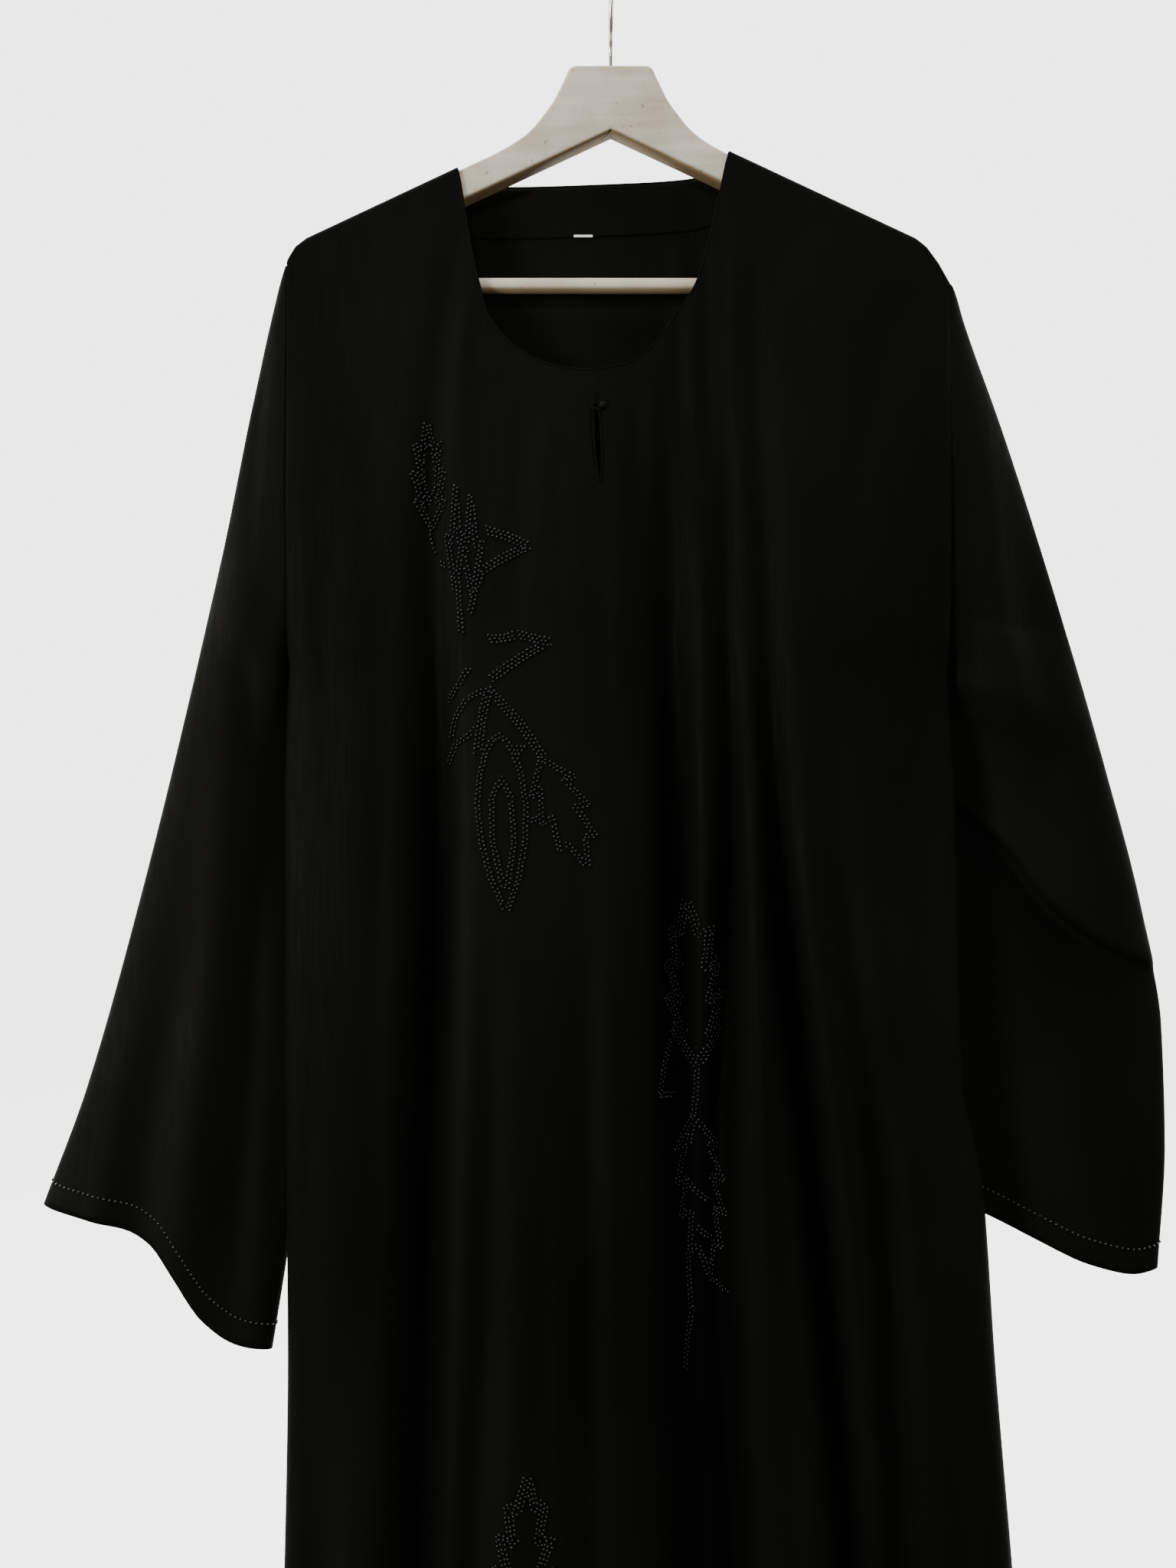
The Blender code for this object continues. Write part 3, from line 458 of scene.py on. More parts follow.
def fold_depth(folds: Sequence[Fold], x: Grid, z: Grid) -> Grid:
    """Sum of the hanging folds' depths at points of a panel.

    Args:
        folds: The folds.
        x: Places across.
        z: Heights.

    Returns:
        The depths, inwards.
    """
    total = np.zeros_like(z)
    for fold in folds:
        middle = smooth([Place(*row) for row in zip(FOLD_HEIGHTS, fold[1:6])], z, "x")
        growth = ease((fold.start - z) / FOLD_GROWTH)
        widening = ease((fold.start - z) / FOLD_WIDENING_LENGTH) - FOLD_NOMINAL
        spread = fold.width * (1 + FOLD_WIDENING * widening)
        total += fold.depth * growth * np.exp(-(((x - middle) / spread) ** 2))
    return total


def crease_relief(creases: Sequence[Crease], x: Grid, z: Grid) -> Grid:
    """Height of the small creases at points of a panel or sleeve.

    Args:
        creases: The creases.
        x: Places across.
        z: Heights.

    Returns:
        The heights, outwards.
    """
    total = np.zeros_like(z)
    for crease in creases:
        run_x, run_z = crease.to_x - crease.x, crease.to_z - crease.z
        length = sqrt(run_x ** 2 + run_z ** 2)
        along = ((x - crease.x) * run_x + (z - crease.z) * run_z) / length ** 2
        aside = ((x - crease.x) * run_z - (z - crease.z) * run_x) / length
        aside = aside - crease.bow * (1 - (2 * along - 1) ** 2)
        fade = ease(along / CREASE_START) * ease((1 - along) / CREASE_END)
        total += crease.height * fade * np.exp(-((aside / crease.width) ** 2))
    return total


def grid_quads(grid: Grid) -> list[list[int]]:
    """Corners of the faces between a grid's points.

    Args:
        grid: Points, columns by rows.

    Returns:
        Four indices for each face.
    """
    columns, rows, _ = grid.shape
    index = np.arange(columns * rows).reshape(columns, rows)
    quads = np.stack([index[:-1, :-1], index[1:, :-1], index[1:, 1:], index[:-1, 1:]], axis=-1)
    return quads.reshape(-1, 4).tolist()


def weld(mesh: Mesh, reach: float) -> None:
    """Joins points that lie together, turns the faces outwards and shades them smooth.

    Args:
        mesh: The mesh, which is changed.
        reach: Distance within which points are joined.
    """
    bm = bmesh.new()
    bm.from_mesh(mesh)
    bmesh.ops.remove_doubles(bm, verts=bm.verts, dist=reach)
    bmesh.ops.recalc_face_normals(bm, faces=bm.faces)
    bm.to_mesh(mesh)
    bm.free()
    mesh.shade_smooth()


def grid_mesh(name: str, grid: Grid, painted_fold_shade: Grid | None = None) -> Mesh:
    """Open, smooth-shaded surface through a grid of points.

    Args:
        name: The mesh's name.
        grid: Points, columns by rows.
        painted_fold_shade: How deep in a fold each point lies, from 0 to 1, kept as an attribute that darkens
            the cloth's colour there as painted shade.

    Returns:
        The mesh, with coincident points joined and a UV map in metres.
    """
    mesh = bpy.data.meshes.new(name)
    mesh.from_pydata(grid.reshape(-1, 3).tolist(), [], grid_quads(grid))
    down = np.zeros(grid.shape[:2])
    down[:, 1:] = np.cumsum(np.linalg.norm(np.diff(grid, axis=1), axis=2), axis=1)
    across = np.zeros(grid.shape[:2])
    across[1:, :] = np.cumsum(np.linalg.norm(np.diff(grid, axis=0), axis=2), axis=0)
    flat = np.stack([across, down], axis=-1).reshape(-1, 2)
    layer = mesh.uv_layers.new(name="cloth")
    corners = np.empty(len(mesh.loops), dtype=np.int32)
    mesh.loops.foreach_get("vertex_index", corners)
    layer.data.foreach_set("uv", flat[corners].ravel())
    # Keeps the painted shade as an attribute that the crepe's colour reads
    if painted_fold_shade is not None:
        mesh.attributes.new("painted_fold_shade", "FLOAT", "POINT").data.foreach_set("value", painted_fold_shade.ravel())
    weld(mesh, CLOTH_WELD)
    return mesh


def add_object(name: str, data: bpy.types.ID) -> Object:
    """Object in the scene's own collection.

    Args:
        name: Its name.
        data: Its mesh, curve, light or camera.

    Returns:
        The object.
    """
    piece = bpy.data.objects.new(name, data)
    bpy.context.scene.collection.objects.link(piece)
    return piece


def from_bmesh(name: str, bm: bmesh.types.BMesh) -> Object:
    """Object from a mesh in the making.

    Args:
        name: Its name.
        bm: The mesh in the making, which is freed.

    Returns:
        The object.
    """
    mesh = bpy.data.meshes.new(name)
    bm.to_mesh(mesh)
    bm.free()
    return add_object(name, mesh)


def thicken(piece: Object, name: str, thickness: float) -> None:
    """Gives a surface a wall, half of it on either side.

    Args:
        piece: The surface's object.
        name: The modifier's name.
        thickness: Thickness of the wall.
    """
    wall = piece.modifiers.new(name, "SOLIDIFY")
    wall.thickness = thickness
    wall.offset = 0.0


def baked(piece: Object, name: str) -> Object:
    """Turns an object with modifiers into a plain mesh object.

    Args:
        piece: The object, which is removed.
        name: Name of the new object.

    Returns:
        The plain object.
    """
    bpy.context.view_layer.update()
    mesh = bpy.data.meshes.new_from_object(piece.evaluated_get(bpy.context.evaluated_depsgraph_get()))
    bpy.data.objects.remove(piece)
    mesh.name = name
    return add_object(name, mesh)


def carved(piece: Object, cutters: Sequence[Object], name: str) -> Object:
    """Cuts shapes out of an object.

    Args:
        piece: The object, which is removed.
        cutters: The shapes, which are removed.
        name: Name of the new object.

    Returns:
        The plain object that is left.
    """
    for cutter in cutters:
        cut = piece.modifiers.new(cutter.name, "BOOLEAN")
        cut.operation = "DIFFERENCE"
        cut.object = cutter
    done = baked(piece, name)
    for cutter in cutters:
        bpy.data.objects.remove(cutter)
    return done


def finished(piece: Object, slot: str, material: Material | None = None) -> Object:
    """Rides a piece on the part and reports it.

    Args:
        piece: The piece.
        slot: The record's material slot.
        material: Its finish, where it has none yet.

    Returns:
        The same piece.
    """
    if material:
        piece.data.materials.clear()
        piece.data.materials.append(material)
    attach(piece, "root")
    log.info("%s: %d faces, %s", piece.name, len(piece.data.polygons), slot)
    return piece


def tube(name: str, path: Sequence[Point], radius: float, closed: bool = False) -> Object:
    """Round tube along a path, as a plain mesh with welded caps.

    Args:
        name: Name of the object.
        path: Points of its middle line.
        radius: Its radius.
        closed: Whether the path returns to its start.

    Returns:
        The object.
    """
    curve = bpy.data.curves.new(name, "CURVE")
    curve.dimensions = "3D"
    curve.bevel_depth = radius
    curve.bevel_resolution = 3
    curve.use_fill_caps = not closed
    spline = curve.splines.new("POLY")
    spline.points.add(len(path) - 1)
    spline.points.foreach_set("co", [value for point in path for value in (*point, 1.0)])
    spline.use_cyclic_u = closed
    piece = baked(add_object(name + "_line", curve), name)
    weld(piece.data, TUBE_WELD)
    return piece


class Finish:
    """Base of the procedural materials."""

    name: str

    def start(self) -> tuple[Material, NodeTree, Node]:
        """New node material with its Principled shader.

        Returns:
            The material, its tree and the shader.
        """
        material = bpy.data.materials.new(self.name)
        material.use_nodes = True
        tree = material.node_tree
        return material, tree, tree.nodes["Principled BSDF"]

    def noise(self, tree: NodeTree, stretch: Point, scale: float, detail: float) -> Node:
        """Noise on object coordinates, stretched along the axes.

        Args:
            tree: The material's tree.
            stretch: Scale of the pattern along X, Y and Z.
            scale: Scale of the noise.
            detail: Its detail.

        Returns:
            The noise node.
        """
        place = tree.nodes.new("ShaderNodeTexCoord")
        mapping = tree.nodes.new("ShaderNodeMapping")
        mapping.inputs["Scale"].default_value = stretch
        noise = tree.nodes.new("ShaderNodeTexNoise")
        noise.inputs["Scale"].default_value = scale
        noise.inputs["Detail"].default_value = detail
        tree.links.new(place.outputs["Object"], mapping.inputs["Vector"])
        tree.links.new(mapping.outputs["Vector"], noise.inputs["Vector"])
        return noise

    def ramp(self, tree: NodeTree, source: NodeSocket, low: Sequence[float],
             high: Sequence[float], span: Pair = (0.3, 0.7)) -> NodeSocket:
        """Colour ramp from one colour to another.

        Args:
            tree: The material's tree.
            source: The value that picks the colour.
            low: Colour at the start of the span.
            high: Colour at its end.
            span: The two places on the ramp.

        Returns:
            The colour socket.
        """
        ramp = tree.nodes.new("ShaderNodeValToRGB")
        ends = ramp.color_ramp.elements
        ends[0].position, ends[1].position = span
        ends[0].color, ends[1].color = (*low, 1.0), (*high, 1.0)
        tree.links.new(source, ramp.inputs["Fac"])
        return ramp.outputs["Color"]

    def tint(self, tree: NodeTree, shader: Node, pattern: Node,
             low: Sequence[float], high: Sequence[float]) -> None:
        """Makes a shader's colour follow a pattern between two colours."""
        tree.links.new(self.ramp(tree, pattern.outputs["Fac"], low, high), shader.inputs["Base Color"])

    def roughen(self, tree: NodeTree, shader: Node, pattern: Node, low: float, high: float) -> None:
        """Makes a shader's roughness follow a pattern between two values."""
        tree.links.new(self.remap(tree, pattern.outputs["Fac"], low, high), shader.inputs["Roughness"])

    def remap(self, tree: NodeTree, source: NodeSocket, low: float, high: float) -> NodeSocket:
        """Value between two limits, for a source from 0.3 to 0.7.

        Args:
            tree: The material's tree.
            source: The source's socket.
            low: The value at 0.3.
            high: The value at 0.7.

        Returns:
            The value's socket.
        """
        remap = tree.nodes.new("ShaderNodeMapRange")
        remap.inputs["From Min"].default_value = 0.3
        remap.inputs["From Max"].default_value = 0.7
        remap.inputs["To Min"].default_value = low
        remap.inputs["To Max"].default_value = high
        tree.links.new(source, remap.inputs["Value"])
        return remap.outputs["Result"]

    def multiply(self, tree: NodeTree, first: NodeSocket, second: NodeSocket) -> NodeSocket:
        """Product of two colours.

        Args:
            tree: The material's tree.
            first: One colour's socket.
            second: The other's.

        Returns:
            The colour socket.
        """
        mix = tree.nodes.new("ShaderNodeMix")
        mix.data_type = "RGBA"
        mix.blend_type = "MULTIPLY"
        mix.inputs["Factor"].default_value = 1.0
        # Inputs 6 and 7 and output 2 are the node's colours
        tree.links.new(first, mix.inputs[6])
        tree.links.new(second, mix.inputs[7])
        return mix.outputs[2]

    def bump(self, tree: NodeTree, height: NodeSocket, depth: float, strength: float,
             under: Node | None = None) -> Node:
        """Bump node, laid over another one where that is given.

        Args:
            tree: The material's tree.
            height: The height's socket.
            depth: Depth of the relief in metres.
            strength: Share of it that shows.
            under: Bump node whose normal this one starts from.

        Returns:
            The bump node.
        """
        bump = tree.nodes.new("ShaderNodeBump")
        bump.inputs["Distance"].default_value = depth
        bump.inputs["Strength"].default_value = strength
        tree.links.new(height, bump.inputs["Height"])
        if under:
            tree.links.new(under.outputs["Normal"], bump.inputs["Normal"])
        return bump


@dataclass(frozen=True)
class CrepeFinish(Finish):
    """Black crepe: a pebbly grain, faint drape waves, a soft sheen and painted shade in the fold valleys."""

    name: str
    dark: Point = (0.0013, 0.0013, 0.0010)
    light: Point = (0.0028, 0.0027, 0.0020)
    grain_scale: float = 1100.0
    grain_depth: float = 0.00012
    wave_depth: float = 0.0022
    sheen: float = 0.004
    sheen_tint: Point = (0.35, 0.34, 0.30)
    # Colour that the painted shade in the fold valleys multiplies in at its fullest
    painted_fold_shade_colour: Point = (0.22, 0.22, 0.20)
    # Gain on the colour that makes a lighter, lit copy of the crepe: painted light
    painted_light_gain: float = 1.0

    def make(self) -> Material:
        """Builds the material.

        Returns:
            The material.
        """
        # The painted light gain brightens both ends of the colour
        low, high = (tuple(self.painted_light_gain * v for v in colour) for colour in (self.dark, self.light))
        material, tree, shader = self.start()
        grain = self.noise(tree, (1.0, 1.0, 0.55), scale=self.grain_scale, detail=2.0)
        thread = self.noise(tree, (1.0, 1.0, 0.06), scale=420.0, detail=2.0)
        wave = self.noise(tree, (1.0, 0.6, 0.16), scale=26.0, detail=3.0)
        patch = self.noise(tree, (1.0, 1.0, 0.4), scale=7.0, detail=4.0)
        even = self.ramp(tree, patch.outputs["Fac"], low, high)
        # Painted shade: an attribute darkens the colour in fold valleys and under the elbow crease
        painted_fold_shade = tree.nodes.new("ShaderNodeAttribute")
        painted_fold_shade.attribute_name = "painted_fold_shade"
        shade = self.ramp(tree, painted_fold_shade.outputs["Fac"], WHITE, self.painted_fold_shade_colour, (0.0, 1.0))
        tree.links.new(self.multiply(tree, even, shade), shader.inputs["Base Color"])
        self.roughen(tree, shader, thread, low=0.58, high=0.74)
        soft = self.bump(tree, wave.outputs["Fac"], depth=self.wave_depth, strength=0.5)
        ribs = self.bump(tree, thread.outputs["Fac"], depth=self.grain_depth, strength=0.35, under=soft)
        pebbles = self.bump(tree, grain.outputs["Fac"], depth=self.grain_depth, strength=0.6, under=ribs)
        tree.links.new(pebbles.outputs["Normal"], shader.inputs["Normal"])
        shader.inputs["Specular IOR Level"].default_value = 0.02
        shader.inputs["Sheen Weight"].default_value = self.sheen
        shader.inputs["Sheen Roughness"].default_value = 0.45
        shader.inputs["Sheen Tint"].default_value = (*self.sheen_tint, 1.0)
        return material


@dataclass(frozen=True)
class TapeFinish(Finish):
    """White woven tape of the neck tab."""

    name: str = "white_tape"
    hollow: Point = (0.62, 0.62, 0.60)
    thread: Point = (0.78, 0.78, 0.76)

    def make(self) -> Material:
        """Builds the material.

        Returns:
            The material.
        """
        material, tree, shader = self.start()
        weave = self.noise(tree, (1.0, 1.0, 3.0), scale=1500.0, detail=1.0)
        self.tint(tree, shader, weave, self.hollow, self.thread)
        bump = self.bump(tree, weave.outputs["Fac"], depth=0.0002, strength=0.6)
        tree.links.new(bump.outputs["Normal"], shader.inputs["Normal"])
        shader.inputs["Roughness"].default_value = 0.75
        return material


@dataclass(frozen=True)
class PaintedWoodFinish(Finish):
    """Off-white paint on wood: faint grain, small scuffs, painted shade in brown on the faces that look down,
    and a crack.
    """

    name: str = "painted_wood"
    along: Point = (0.10, 1.0, 1.0)
    dark_paint: Point = (0.37, 0.33, 0.26)
    light_paint: Point = (0.46, 0.42, 0.335)
    worn: Point = (0.82, 0.80, 0.76)
    scuffed: Point = (0.62, 0.56, 0.46)
    # Brown of the painted shade on the faces that look down
    painted_underside_shade: Point = (0.36, 0.28, 0.19)
    cracked: Point = (0.16, 0.11, 0.07)
    crack_z: float = -0.1010
    crack_height: float = 0.0060
    crack_front: float = -0.0055
    crack_rear: float = 0.0078
    crack_width: float = 0.00070
    crack_wobble: float = 0.0060

    def make(self) -> Material:
        """Builds the material.

        Returns:
            The material.
        """
        material, tree, shader = self.start()
        grain = self.noise(tree, self.along, scale=160.0, detail=4.0)
        patch = self.noise(tree, (1.0, 1.0, 1.0), scale=22.0, detail=3.0)
        scuff = self.noise(tree, (1.0, 1.0, 1.0), scale=230.0, detail=5.0)
        paint = self.ramp(tree, grain.outputs["Fac"], self.dark_paint, self.light_paint)
        worn = self.ramp(tree, patch.outputs["Fac"], self.worn, WHITE, (0.35, 0.60))
        spots = self.ramp(tree, scuff.outputs["Fac"], self.scuffed, WHITE, (0.27, 0.33))
        colour = self.multiply(tree, self.multiply(tree, paint, worn), spots)
        # The painted shade of the faces that look down and the crack darken the paint
        for mark in (self.below(tree), self.crack(tree)):
            colour = self.multiply(tree, colour, mark)
        tree.links.new(colour, shader.inputs["Base Color"])
        self.roughen(tree, shader, grain, low=0.36, high=0.52)
        bump = self.bump(tree, grain.outputs["Fac"], depth=0.0004, strength=0.35)
        tree.links.new(bump.outputs["Normal"], shader.inputs["Normal"])
        shader.inputs["Specular IOR Level"].default_value = 0.04
        return material

    def below(self, tree: NodeTree) -> NodeSocket:
        """Painted shade of brown on the faces that look down.

        Args:
            tree: The material's tree.

        Returns:
            The colour socket.
        """
        shape = tree.nodes.new("ShaderNodeNewGeometry")
        parts = tree.nodes.new("ShaderNodeSeparateXYZ")
        tree.links.new(shape.outputs["Normal"], parts.inputs[0])
        downwards = self.sum(tree, "MULTIPLY", parts.outputs["Z"], -1.0)
        return self.ramp(tree, downwards, WHITE, self.painted_underside_shade)

    def crack(self, tree: NodeTree) -> NodeSocket:
        """Short dark crack that runs crookedly back and aside over the lower face of the head.

        Args:
            tree: The material's tree.

        Returns:
            The colour socket.
        """
        wobble = self.noise(tree, (1.0, 1.0, 0.0), scale=330.0, detail=2.0)
        place = tree.nodes.new("ShaderNodeTexCoord")
        parts = tree.nodes.new("ShaderNodeSeparateXYZ")
        tree.links.new(place.outputs["Object"], parts.inputs[0])
        start = self.crack_front - self.crack_wobble / 2
        bent = self.sum(tree, "MULTIPLY_ADD", wobble.outputs["Fac"], self.crack_wobble, start)
        across = self.sum(tree, "ADD", parts.outputs["X"], parts.outputs["Y"])
        aside = self.sum(tree, "ABSOLUTE", self.sum(tree, "SUBTRACT", across, bent))
        along = self.sum(tree, "SUBTRACT", parts.outputs["Y"], parts.outputs["X"])
        middle = (self.crack_front + self.crack_rear) / 2
        from_middle = self.sum(tree, "ABSOLUTE", self.sum(tree, "SUBTRACT", along, middle))
        beyond = self.sum(tree, "GREATER_THAN", from_middle, (self.crack_rear - self.crack_front) / 2)
        level = self.sum(tree, "ABSOLUTE", self.sum(tree, "SUBTRACT", parts.outputs["Z"], self.crack_z))
        elsewhere = self.sum(tree, "GREATER_THAN", level, self.crack_height / 2)
        clear = self.sum(tree, "ADD", self.sum(tree, "DIVIDE", aside, 2 * self.crack_width), beyond)
        return self.ramp(tree, self.sum(tree, "ADD", clear, elsewhere), self.cracked, WHITE, (0.35, 0.75))

    def sum(self, tree: NodeTree, operation: str, first: NodeSocket,
            second: NodeSocket | float | None = None, third: float = 0.0) -> NodeSocket:
        """Result of a Math node.

        Args:
            tree: The material's tree.
            operation: What the node does.
            first: Its first value.
            second: Its second value, a socket or a number.
            third: Its third value.

        Returns:
            The value socket.
        """
        node = tree.nodes.new("ShaderNodeMath")
        node.operation = operation
        tree.links.new(first, node.inputs[0])
        if isinstance(second, NodeSocket):
            tree.links.new(second, node.inputs[1])
        elif second is not None:
            node.inputs[1].default_value = second
        node.inputs[2].default_value = third
        return node.outputs[0]


@dataclass(frozen=True)
class WireFinish(Finish):
    """Bright plated wire with fine drawn lines."""

    name: str = "hook_wire"
    dull: Point = (0.50, 0.47, 0.42)
    bright: Point = (0.66, 0.63, 0.58)

    def make(self) -> Material:
        """Builds the material.

        Returns:
            The material.
        """
        material, tree, shader = self.start()
        lines = self.noise(tree, (1.0, 1.0, 0.15), scale=900.0, detail=3.0)
        self.tint(tree, shader, lines, self.dull, self.bright)
        self.roughen(tree, shader, lines, low=0.20, high=0.34)
        shader.inputs["Metallic"].default_value = 1.0
        return material


@dataclass(frozen=True)
class BeadFinish(Finish):
    """Glossy black glass, with a slightly different gloss from bead to bead."""

    name: str = "jet_bead"
    gloss: float = 0.26
    deep: Point = (0.0006, 0.0006, 0.0006)
    grey: Point = (0.0014, 0.0014, 0.0013)

    def make(self) -> Material:
        """Builds the material.

        Returns:
            The material.
        """
        material, tree, shader = self.start()
        change = self.noise(tree, (1.0, 1.0, 1.0), scale=420.0, detail=1.0)
        self.tint(tree, shader, change, self.deep, self.grey)
        self.roughen(tree, shader, change, low=0.06, high=0.12)
        shader.inputs["Specular IOR Level"].default_value = self.gloss
        return material


@dataclass(frozen=True)
class ThreadFinish(Finish):
    """Black sewing thread with a twist."""

    name: str = "black_thread"
    hollow: Point = (0.002, 0.002, 0.0018)
    strand: Point = (0.005, 0.005, 0.0045)

    def make(self) -> Material:
        """Builds the material.

        Returns:
            The material.
        """
        material, tree, shader = self.start()
        twist = self.noise(tree, (1.0, 1.0, 1.0), scale=2200.0, detail=1.0)
        self.tint(tree, shader, twist, self.hollow, self.strand)
        shader.inputs["Roughness"].default_value = 0.55
        shader.inputs["Specular IOR Level"].default_value = 0.04
        return material


@dataclass(frozen=True)
class PlainFinish(Finish):
    """Plain matte finish of the floor."""

    name: str
    colour: Point

    def make(self) -> Material:
        """Builds the material.

        Returns:
            The material.
        """
        material, _, shader = self.start()
        shader.inputs["Base Color"].default_value = (*self.colour, 1.0)
        shader.inputs["Roughness"].default_value = 0.9
        shader.inputs["Specular IOR Level"].default_value = 0.0
        return material


class Wall(Enum):
    """Wall of a sleeve."""

    FRONT = "front"
    REAR = "rear"


class Face(Enum):
    """Panel of the body, by the side of the hanger that it hangs on."""

    FRONT = -1
    BACK = 1


class Sewn(NamedTuple):
    """Place of a bead or stitch: its middle, its direction and the cloth's outward normal."""

    point: Vector
    along: Vector
    facing: Vector


@dataclass
class SewnOn:
    """Beads or stitches set on points by Geometry Nodes."""

    name: str
    half_length: float
    half_width: float
    half_height: float
    variation: float
    seed: int
    segments: int = 8
    rings: int = 5

    def nodes(self, material: Material) -> NodeTree:
        """Tree that sets one rounded body on each point, turned by the point's two directions.

        Args:
            material: Finish of the bodies.

        Returns:
            The node tree.
        """
        tree = bpy.data.node_groups.new(self.name, "GeometryNodeTree")
        tree.is_modifier = True
        face = tree.interface
        face.new_socket("Points", in_out="INPUT", socket_type="NodeSocketGeometry")
        for label in ("Half Length", "Half Width", "Half Height", "Variation"):
            face.new_socket(label, in_out="INPUT", socket_type="NodeSocketFloat")
        face.new_socket("Seed", in_out="INPUT", socket_type="NodeSocketInt")
        face.new_socket("Bodies", in_out="OUTPUT", socket_type="NodeSocketGeometry")
        make, link = tree.nodes.new, tree.links.new
        start, end = make("NodeGroupInput"), make("NodeGroupOutput")
        ball = make("GeometryNodeMeshUVSphere")
        ball.inputs["Segments"].default_value = self.segments
        ball.inputs["Rings"].default_value = self.rings
        ball.inputs["Radius"].default_value = 1.0
        size = make("ShaderNodeCombineXYZ")
        for socket, label in zip(size.inputs, ("Half Length", "Half Width", "Half Height")):
            link(start.outputs[label], socket)
        spread = make("FunctionNodeRandomValue")
        less, more = make("ShaderNodeMath"), make("ShaderNodeMath")
        less.operation, more.operation = "SUBTRACT", "ADD"
        # Inputs 2 and 3 are the least and the greatest number, and output 1 is the number drawn
        for node, socket in ((less, spread.inputs[2]), (more, spread.inputs[3])):
            node.inputs[0].default_value = 1.0
            link(start.outputs["Variation"], node.inputs[1])
            link(node.outputs[0], socket)
        link(start.outputs["Seed"], spread.inputs["Seed"])
        scaled = make("ShaderNodeVectorMath")
        scaled.operation = "SCALE"
        link(size.outputs[0], scaled.inputs[0])
        link(spread.outputs[1], scaled.inputs["Scale"])
        turns = []
        for label, axis in (("along", "X"), ("facing", "Z")):
            wanted = make("GeometryNodeInputNamedAttribute")
            wanted.data_type = "FLOAT_VECTOR"
            wanted.inputs["Name"].default_value = label
            turn = make("FunctionNodeAlignRotationToVector")
            turn.axis = axis
            link(wanted.outputs["Attribute"], turn.inputs["Vector"])
            turns.append(turn)
        turns[1].pivot_axis = "X"
        link(turns[0].outputs["Rotation"], turns[1].inputs["Rotation"])
        place = make("GeometryNodeInstanceOnPoints")
        link(start.outputs["Points"], place.inputs["Points"])
        link(ball.outputs["Mesh"], place.inputs["Instance"])
        link(turns[1].outputs["Rotation"], place.inputs["Rotation"])
        link(scaled.outputs[0], place.inputs["Scale"])
        real, shade, finish = (make("GeometryNodeRealizeInstances"), make("GeometryNodeSetShadeSmooth"),
                               make("GeometryNodeSetMaterial"))
        finish.inputs["Material"].default_value = material
        link(place.outputs["Instances"], shade.inputs["Geometry"])
        link(shade.outputs["Geometry"], real.inputs["Geometry"])
        link(real.outputs["Geometry"], finish.inputs["Geometry"])
        link(finish.outputs["Geometry"], end.inputs["Bodies"])
        return tree

    def build(self, places: Sequence[Sewn], material: Material, slot: str) -> Object:
        """Sets the bodies on their places and rides them on the part.

        Args:
            places: Where each body goes.
            material: Their finish.
            slot: The record's material slot.

        Returns:
            The plain object.
        """
        cloud = bpy.data.meshes.new(self.name + "_points")
        cloud.from_pydata([place.point for place in places], [], [])
        for label in ("along", "facing"):
            values = cloud.attributes.new(label, "FLOAT_VECTOR", "POINT")
            values.data.foreach_set("vector", [v for place in places for v in getattr(place, label)])
        carrier = add_object(self.name + "_points", cloud)
        modifier = carrier.modifiers.new("sewn", "NODES")
        tree = self.nodes(material)
        modifier.node_group = tree
        sizes = {"Half Length": self.half_length, "Half Width": self.half_width,
                 "Half Height": self.half_height, "Variation": self.variation, "Seed": self.seed}
        for item in tree.interface.items_tree:
            if item.item_type == "SOCKET" and item.in_out == "INPUT" and item.name in sizes:
                modifier[item.identifier] = sizes[item.name]
        return finished(baked(carrier, self.name), slot)


class Cloth:
    """Cloth surface that beads and stitches can be laid on."""

    name: str
    grid: Grid
    # Painted shade of each point, from 0 to 1, for lying deep in a fold or under a crease
    painted_fold_shade: Grid | None = None

    def tree(self) -> BVHTree:
        """Search tree of the surface, made at the first call.

        Returns:
            The tree.
        """
        if not hasattr(self, "_tree"):
            self._tree = BVHTree.FromPolygons(self.grid.reshape(-1, 3).tolist(), grid_quads(self.grid))
        return self._tree

    def touch(self, x: float, z: float, from_front: bool = True) -> tuple[Vector, Vector] | None:
        """Point and outward normal where a line along Y first meets the surface.

        Args:
            x: Place across.
            z: Height.
            from_front: Whether the line comes from the front.

        Returns:
            The point and the normal on that side, or nothing where there is no cloth.
        """
        side = -1.0 if from_front else 1.0
        point, normal, _, _ = self.tree().ray_cast(Vector((x, side, z)), Vector((0.0, -side, 0.0)))
        if point is None:
            return None
        return point, normal if normal.y * side > 0 else -normal

    def shell(self, material: Material, thickness: float = SHELL) -> Object:
        """Thin closed wall on both sides of the surface.

        Args:
            material: Its finish.
            thickness: Its thickness.

        Returns:
            The object, with the wall as a modifier.
        """
        piece = add_object(self.name, grid_mesh(self.name, self.grid, self.painted_fold_shade))
        piece.data.materials.append(material)
        thicken(piece, "wall", thickness)
        return piece


